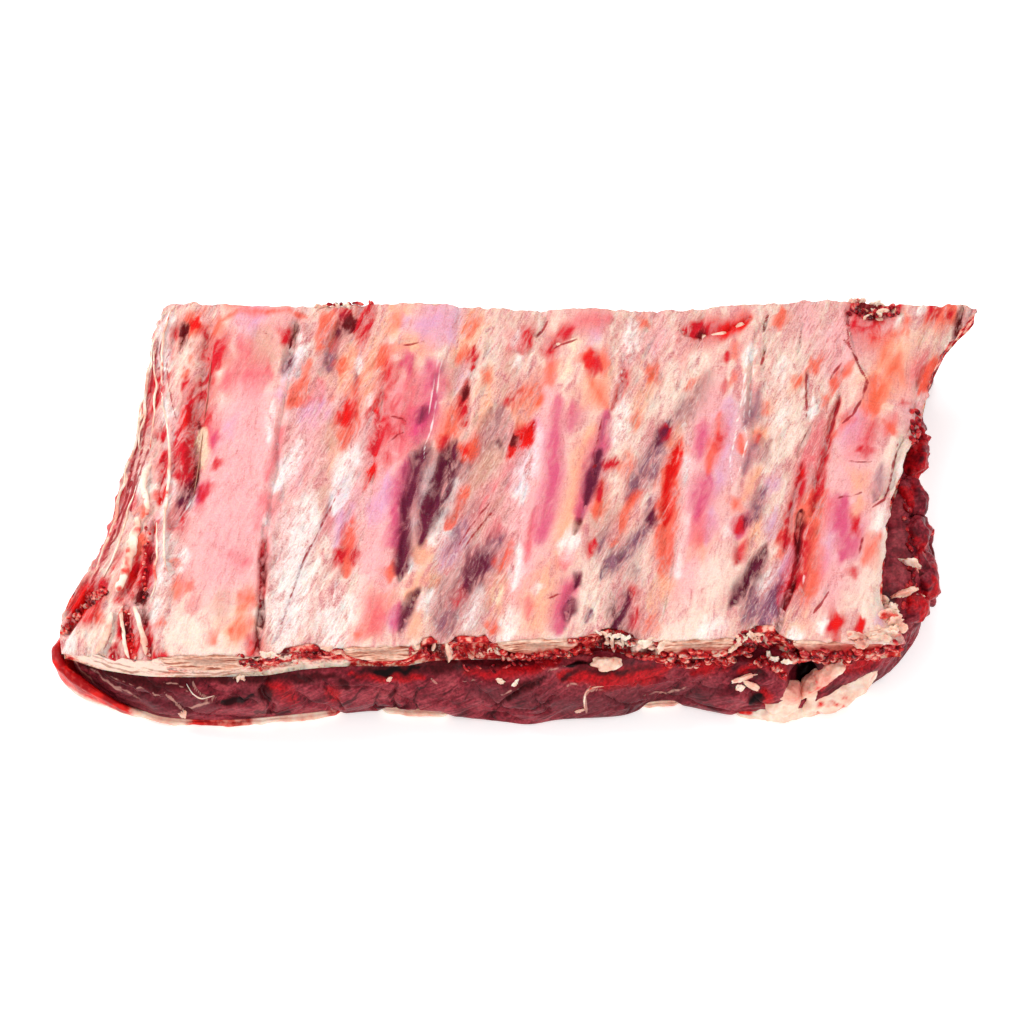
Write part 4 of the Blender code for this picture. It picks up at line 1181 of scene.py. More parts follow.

# The membrane: the lining of the chest, moist and less than a mm thick, which covers ribs, meat and fat on
# the bone side. Blood, bone and fat show through it in stripes along the ribs, and across them between.
# Shade is painted in too: purple and magenta in the grooves on the right of the ribs, near-black blood in
# the slits, and a white sheen where it is wet.
MEMBRANE_ROWS, MEMBRANE_COLUMNS, COARSE = 196, 436, 4
MEMBRANE_MARKS = {
    "pink": (
        (52, 1.0, (248, 400), (238, 480), (226, 560), (220, 590)),
        (40, 0.8, (250, 322), (285, 322)),
        (26, 0.8, (318, 400), (310, 430), (300, 470), (290, 490)),
        (26, 0.8, (425, 318), (440, 325)),
        (30, 0.9, (395, 400), (385, 480), (378, 540), (372, 600)),
        (26, 0.7, (360, 350), (370, 400), (352, 520)),
        (30, 0.9, (545, 400), (530, 480), (520, 560), (515, 600)),
        (30, 0.9, (712, 400), (702, 480), (695, 560), (690, 600)),
        (20, 0.7, (660, 330), (655, 350)),
        (26, 0.8, (840, 320), (838, 370)),
        (34, 0.9, (858, 430), (846, 500), (838, 560), (832, 600)),
        (16, 0.7, (795, 305), (815, 330)),
        (18, 0.8, (920, 370), (912, 400), (905, 420)),
        (10, 0.9, (158, 515), (156, 560), (152, 595)),
    ),
    "cream": (
        (26, 1.0, (170, 640), (215, 645), (240, 652)),
        (20, 0.9, (232, 610), (238, 640)),
        (24, 1.0, (120, 640), (95, 640)),
        (16, 0.9, (125, 565), (116, 590)),
        (12, 1.0, (148, 470), (146, 500)),
        (20, 0.8, (195, 350), (188, 370)),
        (22, 1.0, (486, 325), (481, 360), (478, 400), (468, 425)),
        (20, 0.9, (618, 400), (622, 440), (608, 456)),
        (14, 0.9, (615, 475), (620, 480)),
        (26, 0.9, (600, 550), (590, 600), (580, 620)),
        (24, 0.8, (645, 550), (630, 580)),
        (24, 0.9, (700, 345), (680, 380), (660, 395)),
        (26, 0.9, (705, 640), (690, 640), (665, 640)),
        (22, 0.9, (718, 560), (712, 600)),
        (24, 1.0, (790, 350), (786, 420), (780, 450)),
        (20, 1.0, (880, 530), (874, 570), (872, 620)),
        (18, 0.9, (895, 445), (893, 500)),
        (22, 0.9, (895, 350), (910, 330)),
        (14, 0.9, (510, 610), (507, 640)),
        (16, 0.8, (355, 575), (350, 605)),
        (18, 0.8, (790, 640), (800, 632)),
        (16, 0.9, (857, 650), (870, 640), (890, 645)),
    ),
    "peach": (
        (22, 0.8, (240, 615), (235, 635)),
        (18, 0.9, (350, 345), (347, 370), (350, 385)),
        (16, 0.7, (340, 452), (332, 462)),
        (13, 0.8, (374, 340), (370, 380), (364, 405)),
        (15, 0.9, (395, 310), (399, 330)),
        (11, 0.9, (400, 351), (430, 346)),
        (16, 0.8, (466, 315), (470, 330), (455, 345)),
        (9, 0.8, (450, 372), (448, 384)),
        (12, 0.8, (490, 372), (486, 400), (482, 425)),
        (14, 0.8, (512, 408), (536, 404)),
        (11, 0.9, (592, 430), (580, 462), (571, 500), (563, 540), (556, 565)),
        (22, 0.7, (590, 375), (598, 400)),
        (22, 0.8, (545, 570), (540, 600), (540, 628)),
        (9, 0.8, (647, 375), (640, 400), (635, 425)),
        (14, 0.9, (684, 428), (670, 442)),
        (14, 0.7, (700, 540), (702, 560)),
        (8, 0.8, (758, 470), (748, 486), (742, 497)),
        (9, 0.8, (800, 380), (786, 392), (768, 406)),
        (10, 0.8, (765, 425), (755, 440)),
        (9, 0.8, (758, 516), (748, 536), (744, 552)),
        (28, 0.9, (886, 350), (890, 370), (880, 400)),
        (16, 0.7, (862, 478), (855, 490)),
        (10, 0.8, (857, 505), (855, 520)),
        (14, 0.8, (500, 574), (494, 595), (490, 615)),
        (9, 0.9, (435, 545), (422, 554), (414, 566)),
        (10, 0.9, (437, 578), (420, 588), (406, 602)),
        (12, 0.7, (420, 618), (408, 636)),
        (14, 0.8, (661, 580), (656, 608)),
        (14, 0.8, (800, 615), (790, 635)),
        (22, 0.7, (372, 600), (372, 628)),
        (12, 0.6, (320, 545), (318, 552)),
    ),
    "tan": (
        (24, 0.8, (256, 335), (262, 355), (264, 370)),
        (14, 0.7, (333, 420), (332, 445)),
        (13, 0.7, (323, 470), (318, 500), (322, 512)),
        (11, 0.7, (224, 594), (222, 615)),
        (9, 0.6, (310, 622), (318, 618)),
        (14, 0.9, (496, 442), (486, 460), (474, 482)),
        (13, 0.7, (452, 358), (448, 390)),
        (10, 0.7, (508, 350), (508, 378), (506, 400)),
        (16, 0.6, (600, 500), (598, 530)),
        (12, 0.6, (705, 380), (690, 400)),
        (5, 0.7, (500, 500), (485, 520), (468, 542)),
        (4, 0.7, (171, 535), (171, 578)),
    ),
    "lilac": (
        (14, 0.6, (238, 322), (262, 318)),
        (12, 0.5, (228, 428), (232, 436)),
        (8, 0.8, (298, 352), (290, 370), (284, 380)),
        (9, 0.7, (286, 385), (284, 400)),
        (18, 0.6, (318, 395), (310, 425)),
        (16, 0.8, (420, 325), (446, 322), (450, 335)),
        (11, 0.8, (386, 475), (381, 500), (372, 522)),
        (10, 0.7, (343, 485), (344, 520), (340, 545)),
        (9, 0.6, (462, 362), (456, 385)),
        (12, 0.8, (468, 515), (455, 545), (442, 565)),
        (13, 0.7, (533, 420), (524, 455), (520, 490)),
        (10, 0.6, (592, 333), (600, 338)),
        (13, 0.7, (731, 400), (727, 450), (721, 490)),
        (8, 0.7, (714, 515), (708, 545)),
        (9, 0.8, (798, 545), (788, 565)),
        (14, 0.9, (785, 562), (776, 592), (765, 618)),
        (10, 0.7, (777, 515), (768, 536)),
        (10, 0.7, (393, 615), (388, 632)),
        (10, 0.6, (826, 500), (828, 540), (821, 575)),
        (13, 0.7, (850, 420), (858, 440)),
        (9, 0.7, (767, 480), (778, 488)),
        (7, 0.7, (883, 612), (880, 628)),
        (9, 0.7, (412, 322), (405, 330)),
    ),
    "rose": (
        (9, 0.8, (240, 345), (245, 365), (236, 380), (222, 388)),
        (12, 0.8, (268, 380), (244, 384)),
        (10, 0.7, (208, 430), (218, 440)),
        (10, 0.8, (203, 495), (194, 505)),
        (5, 0.7, (286, 430), (276, 460), (268, 482)),
        (9, 0.7, (282, 440), (288, 430)),
        (9, 0.8, (262, 500), (268, 515), (256, 532)),
        (7, 0.6, (230, 558), (250, 564)),
        (9, 0.6, (192, 600), (194, 618)),
        (6, 0.9, (318, 400), (316, 380)),
        (18, 0.9, (412, 380), (412, 430), (405, 455)),
        (9, 0.8, (325, 525), (332, 518)),
        (16, 0.8, (370, 605), (378, 632)),
        (14, 0.7, (395, 556), (398, 548)),
        (9, 0.8, (565, 336), (582, 323), (612, 316)),
        (9, 0.7, (513, 462), (505, 485)),
        (14, 0.7, (520, 335), (512, 348)),
        (11, 0.7, (494, 482), (482, 505), (472, 520)),
        (10, 0.8, (496, 524), (490, 540)),
        (6, 0.7, (480, 545), (466, 570), (458, 584)),
        (5, 0.8, (538, 508), (531, 540), (527, 562)),
        (5, 0.7, (530, 600), (530, 620)),
        (8, 0.9, (564, 552), (562, 566)),
        (12, 0.8, (702, 520), (699, 550)),
        (12, 0.6, (690, 345), (674, 352)),
        (11, 0.9, (822, 418), (815, 445), (806, 468), (800, 492)),
        (12, 0.7, (865, 420), (862, 442), (868, 455)),
        (10, 0.8, (928, 355), (918, 366), (932, 378), (922, 388)),
        (8, 0.7, (893, 418), (882, 442)),
        (9, 0.6, (152, 405), (148, 430)),
        (5, 0.9, (160, 342), (149, 380), (141, 420), (134, 462)),
        (5, 0.8, (134, 462), (126, 500), (116, 530)),
        (6, 0.9, (118, 495), (112, 522), (104, 545), (95, 566)),
        (5, 0.8, (136, 485), (132, 512)),
        (6, 0.7, (168, 345), (167, 358)),
        (12, 0.7, (640, 618), (628, 625)),
    ),
    "taupe": (
        (26, 0.9, (488, 548), (470, 580), (455, 610), (445, 632)),
        (14, 0.7, (500, 410), (492, 432), (484, 446)),
        (10, 0.8, (485, 432), (470, 456), (455, 480), (446, 498)),
        (16, 0.6, (475, 500), (460, 530), (446, 555)),
        (12, 0.7, (705, 378), (698, 400), (682, 412), (668, 424)),
        (18, 0.5, (610, 520), (600, 560)),
        (16, 0.5, (640, 570), (620, 600)),
        (10, 0.6, (768, 440), (756, 456)),
    ),
    "slate": (
        (11, 0.9, (670, 422), (658, 440), (652, 456), (642, 474), (628, 494)),
        (9, 0.9, (657, 440), (651, 466), (648, 476)),
        (9, 0.8, (652, 498), (652, 516), (644, 532)),
        (9, 0.9, (645, 528), (632, 548), (618, 562), (604, 582)),
        (9, 0.9, (630, 600), (622, 612)),
        (10, 0.8, (758, 394), (752, 410), (746, 422)),
        (6, 0.8, (757, 434), (748, 454), (742, 470)),
        (8, 0.9, (766, 488), (755, 504), (748, 518)),
        (9, 0.9, (757, 588), (750, 612), (744, 625)),
        (14, 0.9, (775, 580), (765, 605), (760, 625)),
        (9, 0.7, (880, 468), (877, 490), (873, 502)),
        (9, 0.8, (336, 340), (326, 358), (331, 370)),
        (4, 0.7, (338, 492), (320, 528), (303, 563), (290, 600), (281, 625), (274, 638)),
        (3, 0.6, (362, 345), (358, 380), (355, 402)),
        (3, 0.6, (352, 468), (340, 490), (330, 506)),
        (10, 0.7, (500, 540), (496, 556), (486, 570)),
        (10, 0.6, (462, 500), (450, 530)),
        (4, 0.7, (275, 636), (283, 628), (290, 620)),
        (4, 0.8, (583, 626), (592, 612)),
        (4, 0.7, (596, 560), (612, 530)),
        (12, 0.5, (450, 620), (440, 636)),
    ),
    # Magenta is blood pooled under the membrane, and painted shade in the grooves beside the ribs
    "magenta": (
        (9, 1.0, (402, 368), (410, 362)),
        (12, 0.9, (430, 362), (433, 385), (430, 405)),
        (12, 0.9, (430, 402), (424, 420), (418, 440)),
        (14, 0.9, (408, 470), (402, 495), (393, 512)),
        (10, 1.0, (394, 518), (397, 540), (398, 548)),
        (8, 0.9, (398, 610), (394, 624), (390, 634)),
        (9, 0.9, (557, 400), (554, 440), (551, 480), (546, 515), (541, 540)),
        (10, 0.8, (572, 408), (573, 432)),
        (9, 1.0, (604, 412), (600, 440), (594, 462), (587, 485), (581, 505), (575, 522)),
        (10, 1.0, (576, 576), (566, 590), (562, 612), (560, 632)),
        (14, 0.8, (708, 478), (702, 500), (698, 520)),
        (9, 0.8, (706, 425), (700, 460)),
        (9, 0.9, (842, 500), (836, 512), (842, 530)),
        (12, 0.9, (840, 530), (848, 548), (842, 562)),
        (9, 0.8, (216, 438), (208, 445)),
        (7, 0.9, (196, 500), (206, 482)),
        (7, 0.8, (744, 514), (738, 526), (735, 538)),
    ),
    "orange": (
        (13, 1.0, (188, 318), (196, 328)),
        (8, 0.9, (219, 320), (213, 334)),
        (6, 0.6, (226, 307), (250, 309)),
        (2.5, 0.7, (208, 326), (240, 315), (282, 312), (304, 314)),
        (15, 0.9, (321, 322), (323, 332), (317, 344)),
        (12, 1.0, (304, 378), (298, 392), (293, 402)),
        (7, 0.7, (308, 362), (302, 372)),
        (6, 0.7, (328, 398), (332, 400)),
        (13, 0.9, (345, 398), (350, 420), (344, 440)),
        (9, 0.7, (352, 385), (356, 392)),
        (7, 0.8, (341, 356), (339, 372)),
        (12, 0.8, (386, 350), (388, 364)),
        (8, 0.6, (396, 318), (402, 328)),
        (11, 0.9, (462, 396), (454, 412), (446, 430), (438, 448)),
        (9, 1.0, (458, 446), (470, 444), (464, 456)),
        (12, 0.7, (472, 318), (470, 330)),
        (7, 0.7, (456, 356), (468, 352)),
        (9, 0.6, (488, 374), (484, 384)),
        (5, 1.0, (471, 483), (463, 496), (454, 512), (446, 528)),
        (13, 0.8, (524, 388), (540, 398)),
        (9, 0.8, (550, 366), (552, 384)),
        (10, 0.9, (590, 355), (589, 368)),
        (8, 0.9, (600, 362), (610, 361)),
        (9, 0.6, (592, 384), (604, 404)),
        (9, 0.8, (646, 318), (643, 324)),
        (11, 0.9, (652, 364), (645, 376)),
        (8, 0.7, (637, 414), (634, 424)),
        (9, 0.8, (602, 478), (598, 500), (594, 516)),
        (12, 0.6, (632, 462), (618, 466)),
        (7, 0.8, (641, 490), (630, 502), (620, 520), (612, 544)),
        (10, 0.9, (682, 440), (676, 455)),
        (11, 1.0, (676, 456), (668, 480), (669, 515), (665, 545), (663, 572)),
        (7, 0.9, (722, 418), (721, 440), (714, 456), (709, 476)),
        (7, 0.8, (690, 378), (691, 386)),
        (6, 0.8, (733, 345), (737, 362)),
        (6, 0.9, (733, 378), (736, 382)),
        (4, 0.9, (740, 432), (743, 450)),
        (8, 0.7, (738, 500), (733, 510)),
        (6, 0.7, (768, 402), (762, 408)),
        (9, 0.9, (812, 358), (814, 366)),
        (8, 0.7, (800, 376), (796, 384)),
        (9, 0.8, (827, 398), (822, 404)),
        (7, 0.9, (779, 308), (778, 324)),
        (6, 0.6, (752, 430), (756, 440)),
        (8, 0.9, (840, 380), (832, 377)),
        (8, 0.9, (846, 366), (850, 370)),
        (12, 1.0, (870, 382), (874, 402), (876, 416)),
        (12, 0.6, (878, 348), (886, 362)),
        (14, 0.7, (900, 360), (888, 386)),
        (9, 0.7, (852, 424), (846, 420)),
        (9, 0.8, (836, 428), (832, 438)),
        (8, 0.8, (886, 438), (890, 430)),
        (10, 0.9, (910, 324), (904, 328)),
        (15, 0.9, (928, 322), (942, 310), (956, 314)),
        (6, 0.8, (866, 338), (884, 342), (904, 335)),
        (9, 0.9, (936, 362), (930, 378), (920, 390)),
        (6, 0.7, (971, 313), (973, 318)),
        (14, 1.0, (816, 490), (811, 520), (807, 550)),
        (15, 1.0, (806, 550), (804, 580), (802, 600)),
        (9, 0.8, (784, 528), (787, 540)),
        (7, 0.8, (780, 552), (780, 558)),
        (7, 0.9, (354, 520), (350, 548), (348, 578)),
        (9, 0.9, (391, 570), (388, 582)),
        (9, 0.9, (506, 552), (502, 570)),
        (6, 0.7, (510, 540), (506, 550)),
        (9, 1.0, (493, 622), (490, 632)),
        (12, 0.7, (657, 618), (646, 632)),
        (5, 0.8, (356, 632), (362, 634)),
        (6, 0.9, (176, 560), (174, 568)),
        (7, 0.8, (172, 582), (177, 588), (175, 602)),
        (8, 0.9, (187, 584), (184, 590)),
        (8, 0.8, (238, 599), (256, 604)),
        (9, 0.7, (232, 626), (252, 624)),
        (7, 0.7, (210, 634), (214, 640)),
        (5, 0.7, (153, 630), (165, 628)),
        (6, 0.8, (143, 505), (141, 518)),
        (8, 0.9, (140, 540), (137, 560), (134, 580)),
        (8, 0.8, (118, 580), (120, 592)),
        (9, 0.8, (94, 616), (100, 606)),
        (6, 0.7, (190, 374), (184, 380)),
        (6, 0.6, (192, 365), (196, 360)),
        (9, 0.9, (876, 546), (862, 562)),
    ),
    "crimson": (
        (18, 0.9, (224, 344), (217, 354), (212, 368)),
        (10, 0.9, (209, 372), (206, 392), (201, 406)),
        (9, 1.0, (288, 332), (284, 342)),
        (19, 1.0, (190, 402), (188, 430), (186, 455), (186, 478)),
        (9, 0.9, (205, 412), (210, 422)),
        (6, 0.8, (216, 460), (216, 470)),
        (10, 0.8, (205, 482), (202, 498)),
        (9, 0.8, (186, 502), (178, 520), (172, 528)),
        (7, 1.0, (161, 426), (160, 440)),
        (6, 1.0, (160, 452), (162, 468), (161, 480)),
        (6, 0.9, (152, 376), (150, 392)),
        (5, 0.9, (157, 368), (157, 390), (153, 410)),
        (4, 0.8, (149, 412), (148, 426)),
        (6, 0.7, (166, 372), (167, 378)),
        (8, 0.6, (170, 325), (178, 335)),
        (9, 0.7, (184, 390), (196, 393)),
        (6, 0.6, (204, 322), (205, 336)),
        (10, 0.9, (346, 312), (340, 324)),
        (14, 0.9, (372, 312), (352, 322)),
        (9, 0.8, (344, 402), (349, 420)),
        (12, 0.8, (390, 368), (392, 392)),
        (18, 0.85, (382, 402), (380, 430), (372, 456)),
        (9, 0.8, (388, 452), (384, 464)),
        (4, 0.7, (388, 442), (400, 433)),
        (4, 0.7, (390, 416), (402, 419), (407, 423)),
        (6, 0.8, (359, 548), (356, 562)),
        (9, 0.8, (338, 552), (342, 564)),
        (8, 0.8, (446, 436), (440, 452)),
        (6, 0.9, (464, 384), (461, 402), (465, 422)),
        (6, 0.8, (473, 350), (470, 372)),
        (9, 0.7, (520, 330), (532, 345)),
        (9, 0.8, (545, 352), (560, 344)),
        (7, 0.8, (576, 330), (560, 338)),
        (12, 0.5, (522, 392), (506, 402)),
        (5, 0.8, (628, 350), (626, 376), (618, 390), (610, 406)),
        (8, 0.9, (600, 366), (586, 364)),
        (4, 0.8, (600, 463), (618, 461)),
        (7, 0.8, (592, 542), (588, 560)),
        (7, 0.8, (598, 480), (600, 498)),
        (7, 0.9, (671, 424), (664, 436)),
        (8, 1.0, (686, 328), (708, 330), (735, 328)),
        (5, 0.9, (725, 356), (725, 368)),
        (4, 0.8, (723, 386), (723, 396)),
        (6, 0.7, (719, 436), (726, 444)),
        (6, 0.8, (642, 588), (630, 602)),
        (12, 0.6, (640, 610), (630, 625)),
        (5, 0.9, (739, 516), (734, 534)),
        (5, 0.9, (743, 540), (738, 556), (735, 564)),
        (5, 0.9, (842, 395), (836, 415), (830, 436), (824, 460), (820, 478)),
        (5, 0.8, (824, 462), (820, 486), (812, 512)),
        (6, 0.9, (803, 464), (799, 488), (794, 512)),
        (6, 0.9, (793, 505), (788, 530), (784, 550)),
        (9, 1.0, (801, 530), (797, 560), (789, 590), (783, 612)),
        (7, 0.9, (866, 450), (864, 458)),
        (7, 0.6, (876, 428), (866, 445)),
        (8, 0.9, (856, 525), (850, 532)),
        (6, 0.7, (850, 570), (852, 580)),
        (5, 0.8, (903, 402), (903, 405)),
        (7, 0.7, (930, 310), (934, 322)),
        (6, 0.7, (948, 312), (950, 318)),
        (17, 1.0, (850, 308), (872, 316), (897, 307)),
        (13, 0.9, (840, 628), (828, 636)),
        (8, 0.9, (862, 624), (854, 630)),
        (9, 0.8, (250, 636), (256, 648), (250, 656)),
        (5, 0.9, (263, 545), (261, 575), (261, 600)),
        (12, 1.0, (106, 583), (88, 600), (70, 624)),
        (7, 1.0, (124, 607), (128, 625), (131, 640)),
        (9, 1.0, (131, 640), (134, 655)),
        (9, 0.9, (110, 646), (116, 656), (120, 664)),
        (5, 1.0, (140, 620), (145, 640), (149, 656)),
        (5, 1.0, (149, 661), (168, 662)),
        (8, 0.9, (138, 560), (132, 588), (118, 599)),
        (9, 1.0, (150, 545), (148, 568), (143, 590)),
        (5, 0.8, (128, 487), (121, 504)),
        (5, 0.7, (124, 552), (112, 572)),
        (8, 0.6, (465, 590), (456, 610)),
    ),
    # Purple is dark meat showing through, and painted shade in the furrows and on the right sides of the ribs
    "purple": (
        (6, 0.7, (292, 350), (286, 364), (279, 370)),
        (8, 0.6, (349, 320), (334, 336)),
        (9, 0.8, (194, 480), (188, 492), (180, 506)),
        (13, 0.9, (424, 452), (420, 474), (413, 496), (402, 515)),
        (9, 1.0, (405, 505), (404, 545), (403, 566), (401, 580)),
        (14, 1.0, (450, 447), (446, 466), (438, 490), (428, 514), (421, 540)),
        (5, 0.6, (424, 408), (420, 425)),
        (6, 0.9, (419, 596), (410, 610), (401, 622), (396, 633)),
        (12, 0.8, (488, 558), (476, 574), (466, 590)),
        (7, 1.0, (598, 452), (593, 470), (589, 488), (583, 503)),
        (7, 1.0, (578, 574), (573, 582)),
        (6, 1.0, (569, 600), (568, 622)),
        (12, 0.9, (628, 602), (618, 616), (611, 628)),
        (5, 0.7, (668, 426), (656, 442)),
        (7, 0.8, (652, 514), (648, 526)),
        (7, 1.0, (764, 548), (756, 564), (746, 580), (738, 594), (732, 606)),
        (5, 0.8, (746, 514), (740, 524)),
        (6, 0.6, (505, 440), (495, 445)),
    ),
    "red": (
        (6, 1.0, (196, 318), (192, 328)),
        (7, 0.9, (161, 486), (160, 500)),
        (8, 0.7, (182, 412), (182, 428)),
        (8, 0.9, (341, 405), (346, 418)),
        (9, 1.0, (366, 470), (372, 472)),
        (10, 1.0, (531, 422), (524, 434), (515, 446), (508, 456)),
        (7, 0.8, (462, 446), (466, 448)),
        (7, 0.7, (592, 358), (588, 368)),
        (6, 1.0, (680, 444), (675, 462), (667, 478)),
        (5, 0.8, (667, 478), (669, 500), (667, 520)),
        (6, 1.0, (718, 331), (735, 328), (748, 323)),
        (7, 0.9, (832, 632), (838, 630)),
        (6, 0.8, (858, 626), (862, 623)),
        (6, 0.8, (874, 325), (880, 324)),
        (6, 0.8, (875, 308), (885, 308)),
        (9, 1.0, (96, 594), (84, 606), (76, 618)),
        (8, 1.0, (151, 527), (152, 530)),
        (5, 0.7, (130, 640), (135, 654)),
        (7, 0.8, (138, 572), (134, 584)),
        (7, 0.7, (375, 402), (376, 412)),
        (6, 0.7, (252, 642), (256, 652)),
        (5, 0.7, (803, 470), (799, 478)),
    ),
    # Near-black painted shade in the deepest slits and furrows, dark blood red
    "blood": (
        (5, 1.0, (186, 326), (180, 334)),
        (4, 0.9, (182, 336), (183, 350)),
        (3, 0.9, (294, 325), (290, 345)),
        (3, 0.9, (198, 420), (197, 450), (195, 478), (188, 490)),
        (6, 0.8, (352, 316), (342, 326)),
        (4, 0.9, (465, 386), (461, 396)),
        (6, 0.9, (515, 436), (509, 444)),
        (5, 0.8, (700, 332), (706, 334)),
        (3, 0.9, (803, 512), (799, 540), (795, 562)),
        (4, 1.0, (791, 580), (786, 600), (780, 620), (775, 644)),
        (4, 1.0, (964, 304), (961, 318), (957, 338)),
        (6, 1.0, (856, 309), (874, 316), (890, 308)),
        (4, 1.0, (262, 600), (260, 620), (257, 645)),
        (6, 0.8, (262, 560), (262, 580)),
        (9, 1.0, (144, 590), (145, 604)),
        (5, 0.9, (142, 612), (144, 626)),
        (4, 0.8, (128, 618), (129, 630)),
        (4, 0.8, (152, 550), (153, 562)),
        (5, 0.7, (616, 638), (640, 640)),
        (4, 0.7, (572, 538), (578, 520)),
    ),
    "straw": (
        (6, 0.9, (200, 430), (202, 446), (203, 466)),
        (9, 0.7, (574, 348), (582, 346)),
        (7, 0.7, (500, 590), (496, 602)),
        (9, 0.7, (560, 372), (570, 376)),
    ),
    # White is the pale silverskin, with a painted sheen and wet highlights on it
    "white": (
        (5, 1.0, (172, 308), (165, 325), (161, 350), (160, 395)),
        (6, 0.9, (160, 395), (167, 440), (166, 480), (166, 520)),
        (8, 1.0, (172, 412), (173, 455)),
        (9, 0.8, (168, 530), (165, 560), (165, 592)),
        (7, 0.8, (182, 545), (178, 572)),
        (10, 0.8, (147, 468), (143, 495)),
        (5, 1.0, (196, 494), (185, 512), (178, 522)),
        (8, 0.8, (296, 332), (299, 350), (292, 370), (290, 396)),
        (4, 0.7, (276, 402), (273, 440)),
        (7, 1.0, (302, 440), (288, 466), (276, 492)),
        (5, 0.8, (266, 520), (264, 535)),
        (24, 0.9, (308, 500), (300, 540), (292, 580), (288, 615), (286, 636)),
        (24, 0.8, (335, 600), (332, 640)),
        (7, 1.0, (348, 480), (336, 510)),
        (9, 1.0, (370, 398), (362, 430), (352, 450), (345, 466), (342, 490)),
        (4, 0.8, (361, 352), (362, 370)),
        (8, 0.8, (433, 470), (427, 488), (421, 508)),
        (8, 0.7, (414, 524), (413, 532)),
        (9, 0.9, (462, 486), (450, 504), (438, 532), (430, 545)),
        (5, 0.9, (412, 566), (408, 576)),
        (9, 0.7, (432, 592), (420, 612)),
        (5, 1.0, (518, 330), (514, 345)),
        (6, 0.9, (520, 358), (521, 362)),
        (11, 0.8, (535, 432), (524, 470), (521, 500)),
        (4, 0.9, (524, 470), (520, 500)),
        (7, 0.8, (634, 316), (631, 345), (629, 360)),
        (4, 0.7, (622, 368), (622, 378)),
        (9, 0.7, (620, 395), (616, 440)),
        (8, 0.9, (558, 544), (576, 548)),
        (6, 0.7, (536, 584), (536, 592)),
        (10, 0.8, (510, 610), (507, 640)),
        (9, 0.7, (484, 590), (474, 612), (466, 630)),
        (7, 0.7, (520, 545), (514, 590)),
        (6, 0.8, (752, 348), (750, 362)),
        (7, 0.6, (685, 425), (685, 470), (681, 530), (676, 580)),
        (6, 1.0, (811, 398), (810, 420)),
        (6, 0.7, (659, 484), (655, 500)),
        (10, 0.6, (785, 360), (780, 420)),
        (6, 0.9, (866, 335), (884, 333), (899, 324)),
        (6, 1.0, (880, 318), (888, 314), (874, 318)),
        (7, 0.8, (918, 312), (928, 306)),
        (6, 0.8, (901, 460), (899, 480)),
        (9, 0.6, (882, 515), (874, 545)),
        (7, 0.8, (820, 638), (822, 624)),
        (9, 0.8, (786, 645), (800, 640)),
        (4, 0.8, (804, 575), (803, 585)),
        (10, 0.8, (66, 642), (72, 646)),
        (5, 0.8, (134, 606), (142, 640), (148, 655)),
        (12, 0.7, (155, 605), (158, 640)),
        (4, 0.8, (768, 570), (757, 592)),
        (6, 0.7, (735, 520), (726, 540)),
        (9, 0.7, (728, 630), (700, 636)),
    ),
}

# Thin cracks of the membrane, with blood and painted shade in them along the slits and flap edges, and thin white
# threads of it with a painted glint along the ridges and ropes, as the muscle's are
MEMBRANE_CRACKS = (
    (1.05, (547, 321), (543, 331), (535, 338)),
    (1.05, (552, 349), (562, 344), (578, 339)),
    (1.05, (680, 322), (678, 332)),
    (1.05, (768, 313), (763, 330)),
    (1.05, (765, 352), (761, 366)),
    (1.05, (801, 330), (800, 348)),
    (1.05, (806, 372), (806, 392), (807, 416)),
    (1.05, (809, 429), (803, 443), (799, 455)),
    (1.05, (846, 320), (848, 340), (851, 349), (858, 364), (866, 379), (863, 398)),
    (1.05, (843, 340), (851, 348)),
    (1.05, (863, 398), (853, 414), (842, 423)),
    (1.05, (840, 398), (834, 418), (829, 438)),
    (1.05, (864, 392), (868, 382)),
    (1.05, (898, 442), (893, 466), (890, 486), (884, 500), (873, 506)),
    (1.05, (812, 614), (821, 604), (828, 592)),
    (1.05, (863, 536), (859, 555)),
    (1.05, (593, 468), (599, 464)),
    (0.97, (398, 344), (412, 344), (424, 341)),
    (0.97, (500, 502), (484, 522), (464, 548)),
    (0.97, (492, 500), (476, 520), (458, 545)),
    (0.97, (338, 492), (320, 528), (303, 563), (290, 600), (281, 625)),
    (0.97, (147, 518), (144, 545)),
    (0.97, (113, 630), (105, 648), (96, 656)),
    (0.97, (545, 598), (565, 594)),
    (0.97, (260, 332), (268, 334)),
    (0.97, (106, 640), (118, 660)),
    (0.97, (204, 658), (240, 657)),
    (1.05, (153, 364), (149, 405), (139, 434), (133, 463), (125, 504), (112, 537), (98, 570), (88, 590)),
    (1.05, (158, 339), (153, 372), (147, 413), (141, 455), (131, 496), (118, 533), (104, 562)),
    (1.05, (149, 450), (141, 471), (133, 496), (129, 520)),
    (1.05, (164, 330), (160, 352), (163, 380)),
    (0.97, (170, 344), (166, 366), (170, 392), (176, 420)),
    (0.97, (388, 442), (396, 436), (404, 432)),
    (0.97, (390, 416), (402, 419), (407, 423)),
    (0.97, (834, 498), (846, 497), (862, 492)),
    (0.97, (846, 461), (858, 462), (872, 461)),
    (0.97, (842, 362), (834, 372), (830, 380)),
    (0.97, (603, 414), (598, 440), (592, 462)),
    (1.05, (262, 540), (261, 575), (260, 610), (257, 652)),
    (1.05, (797, 556), (790, 590), (782, 618)),
)
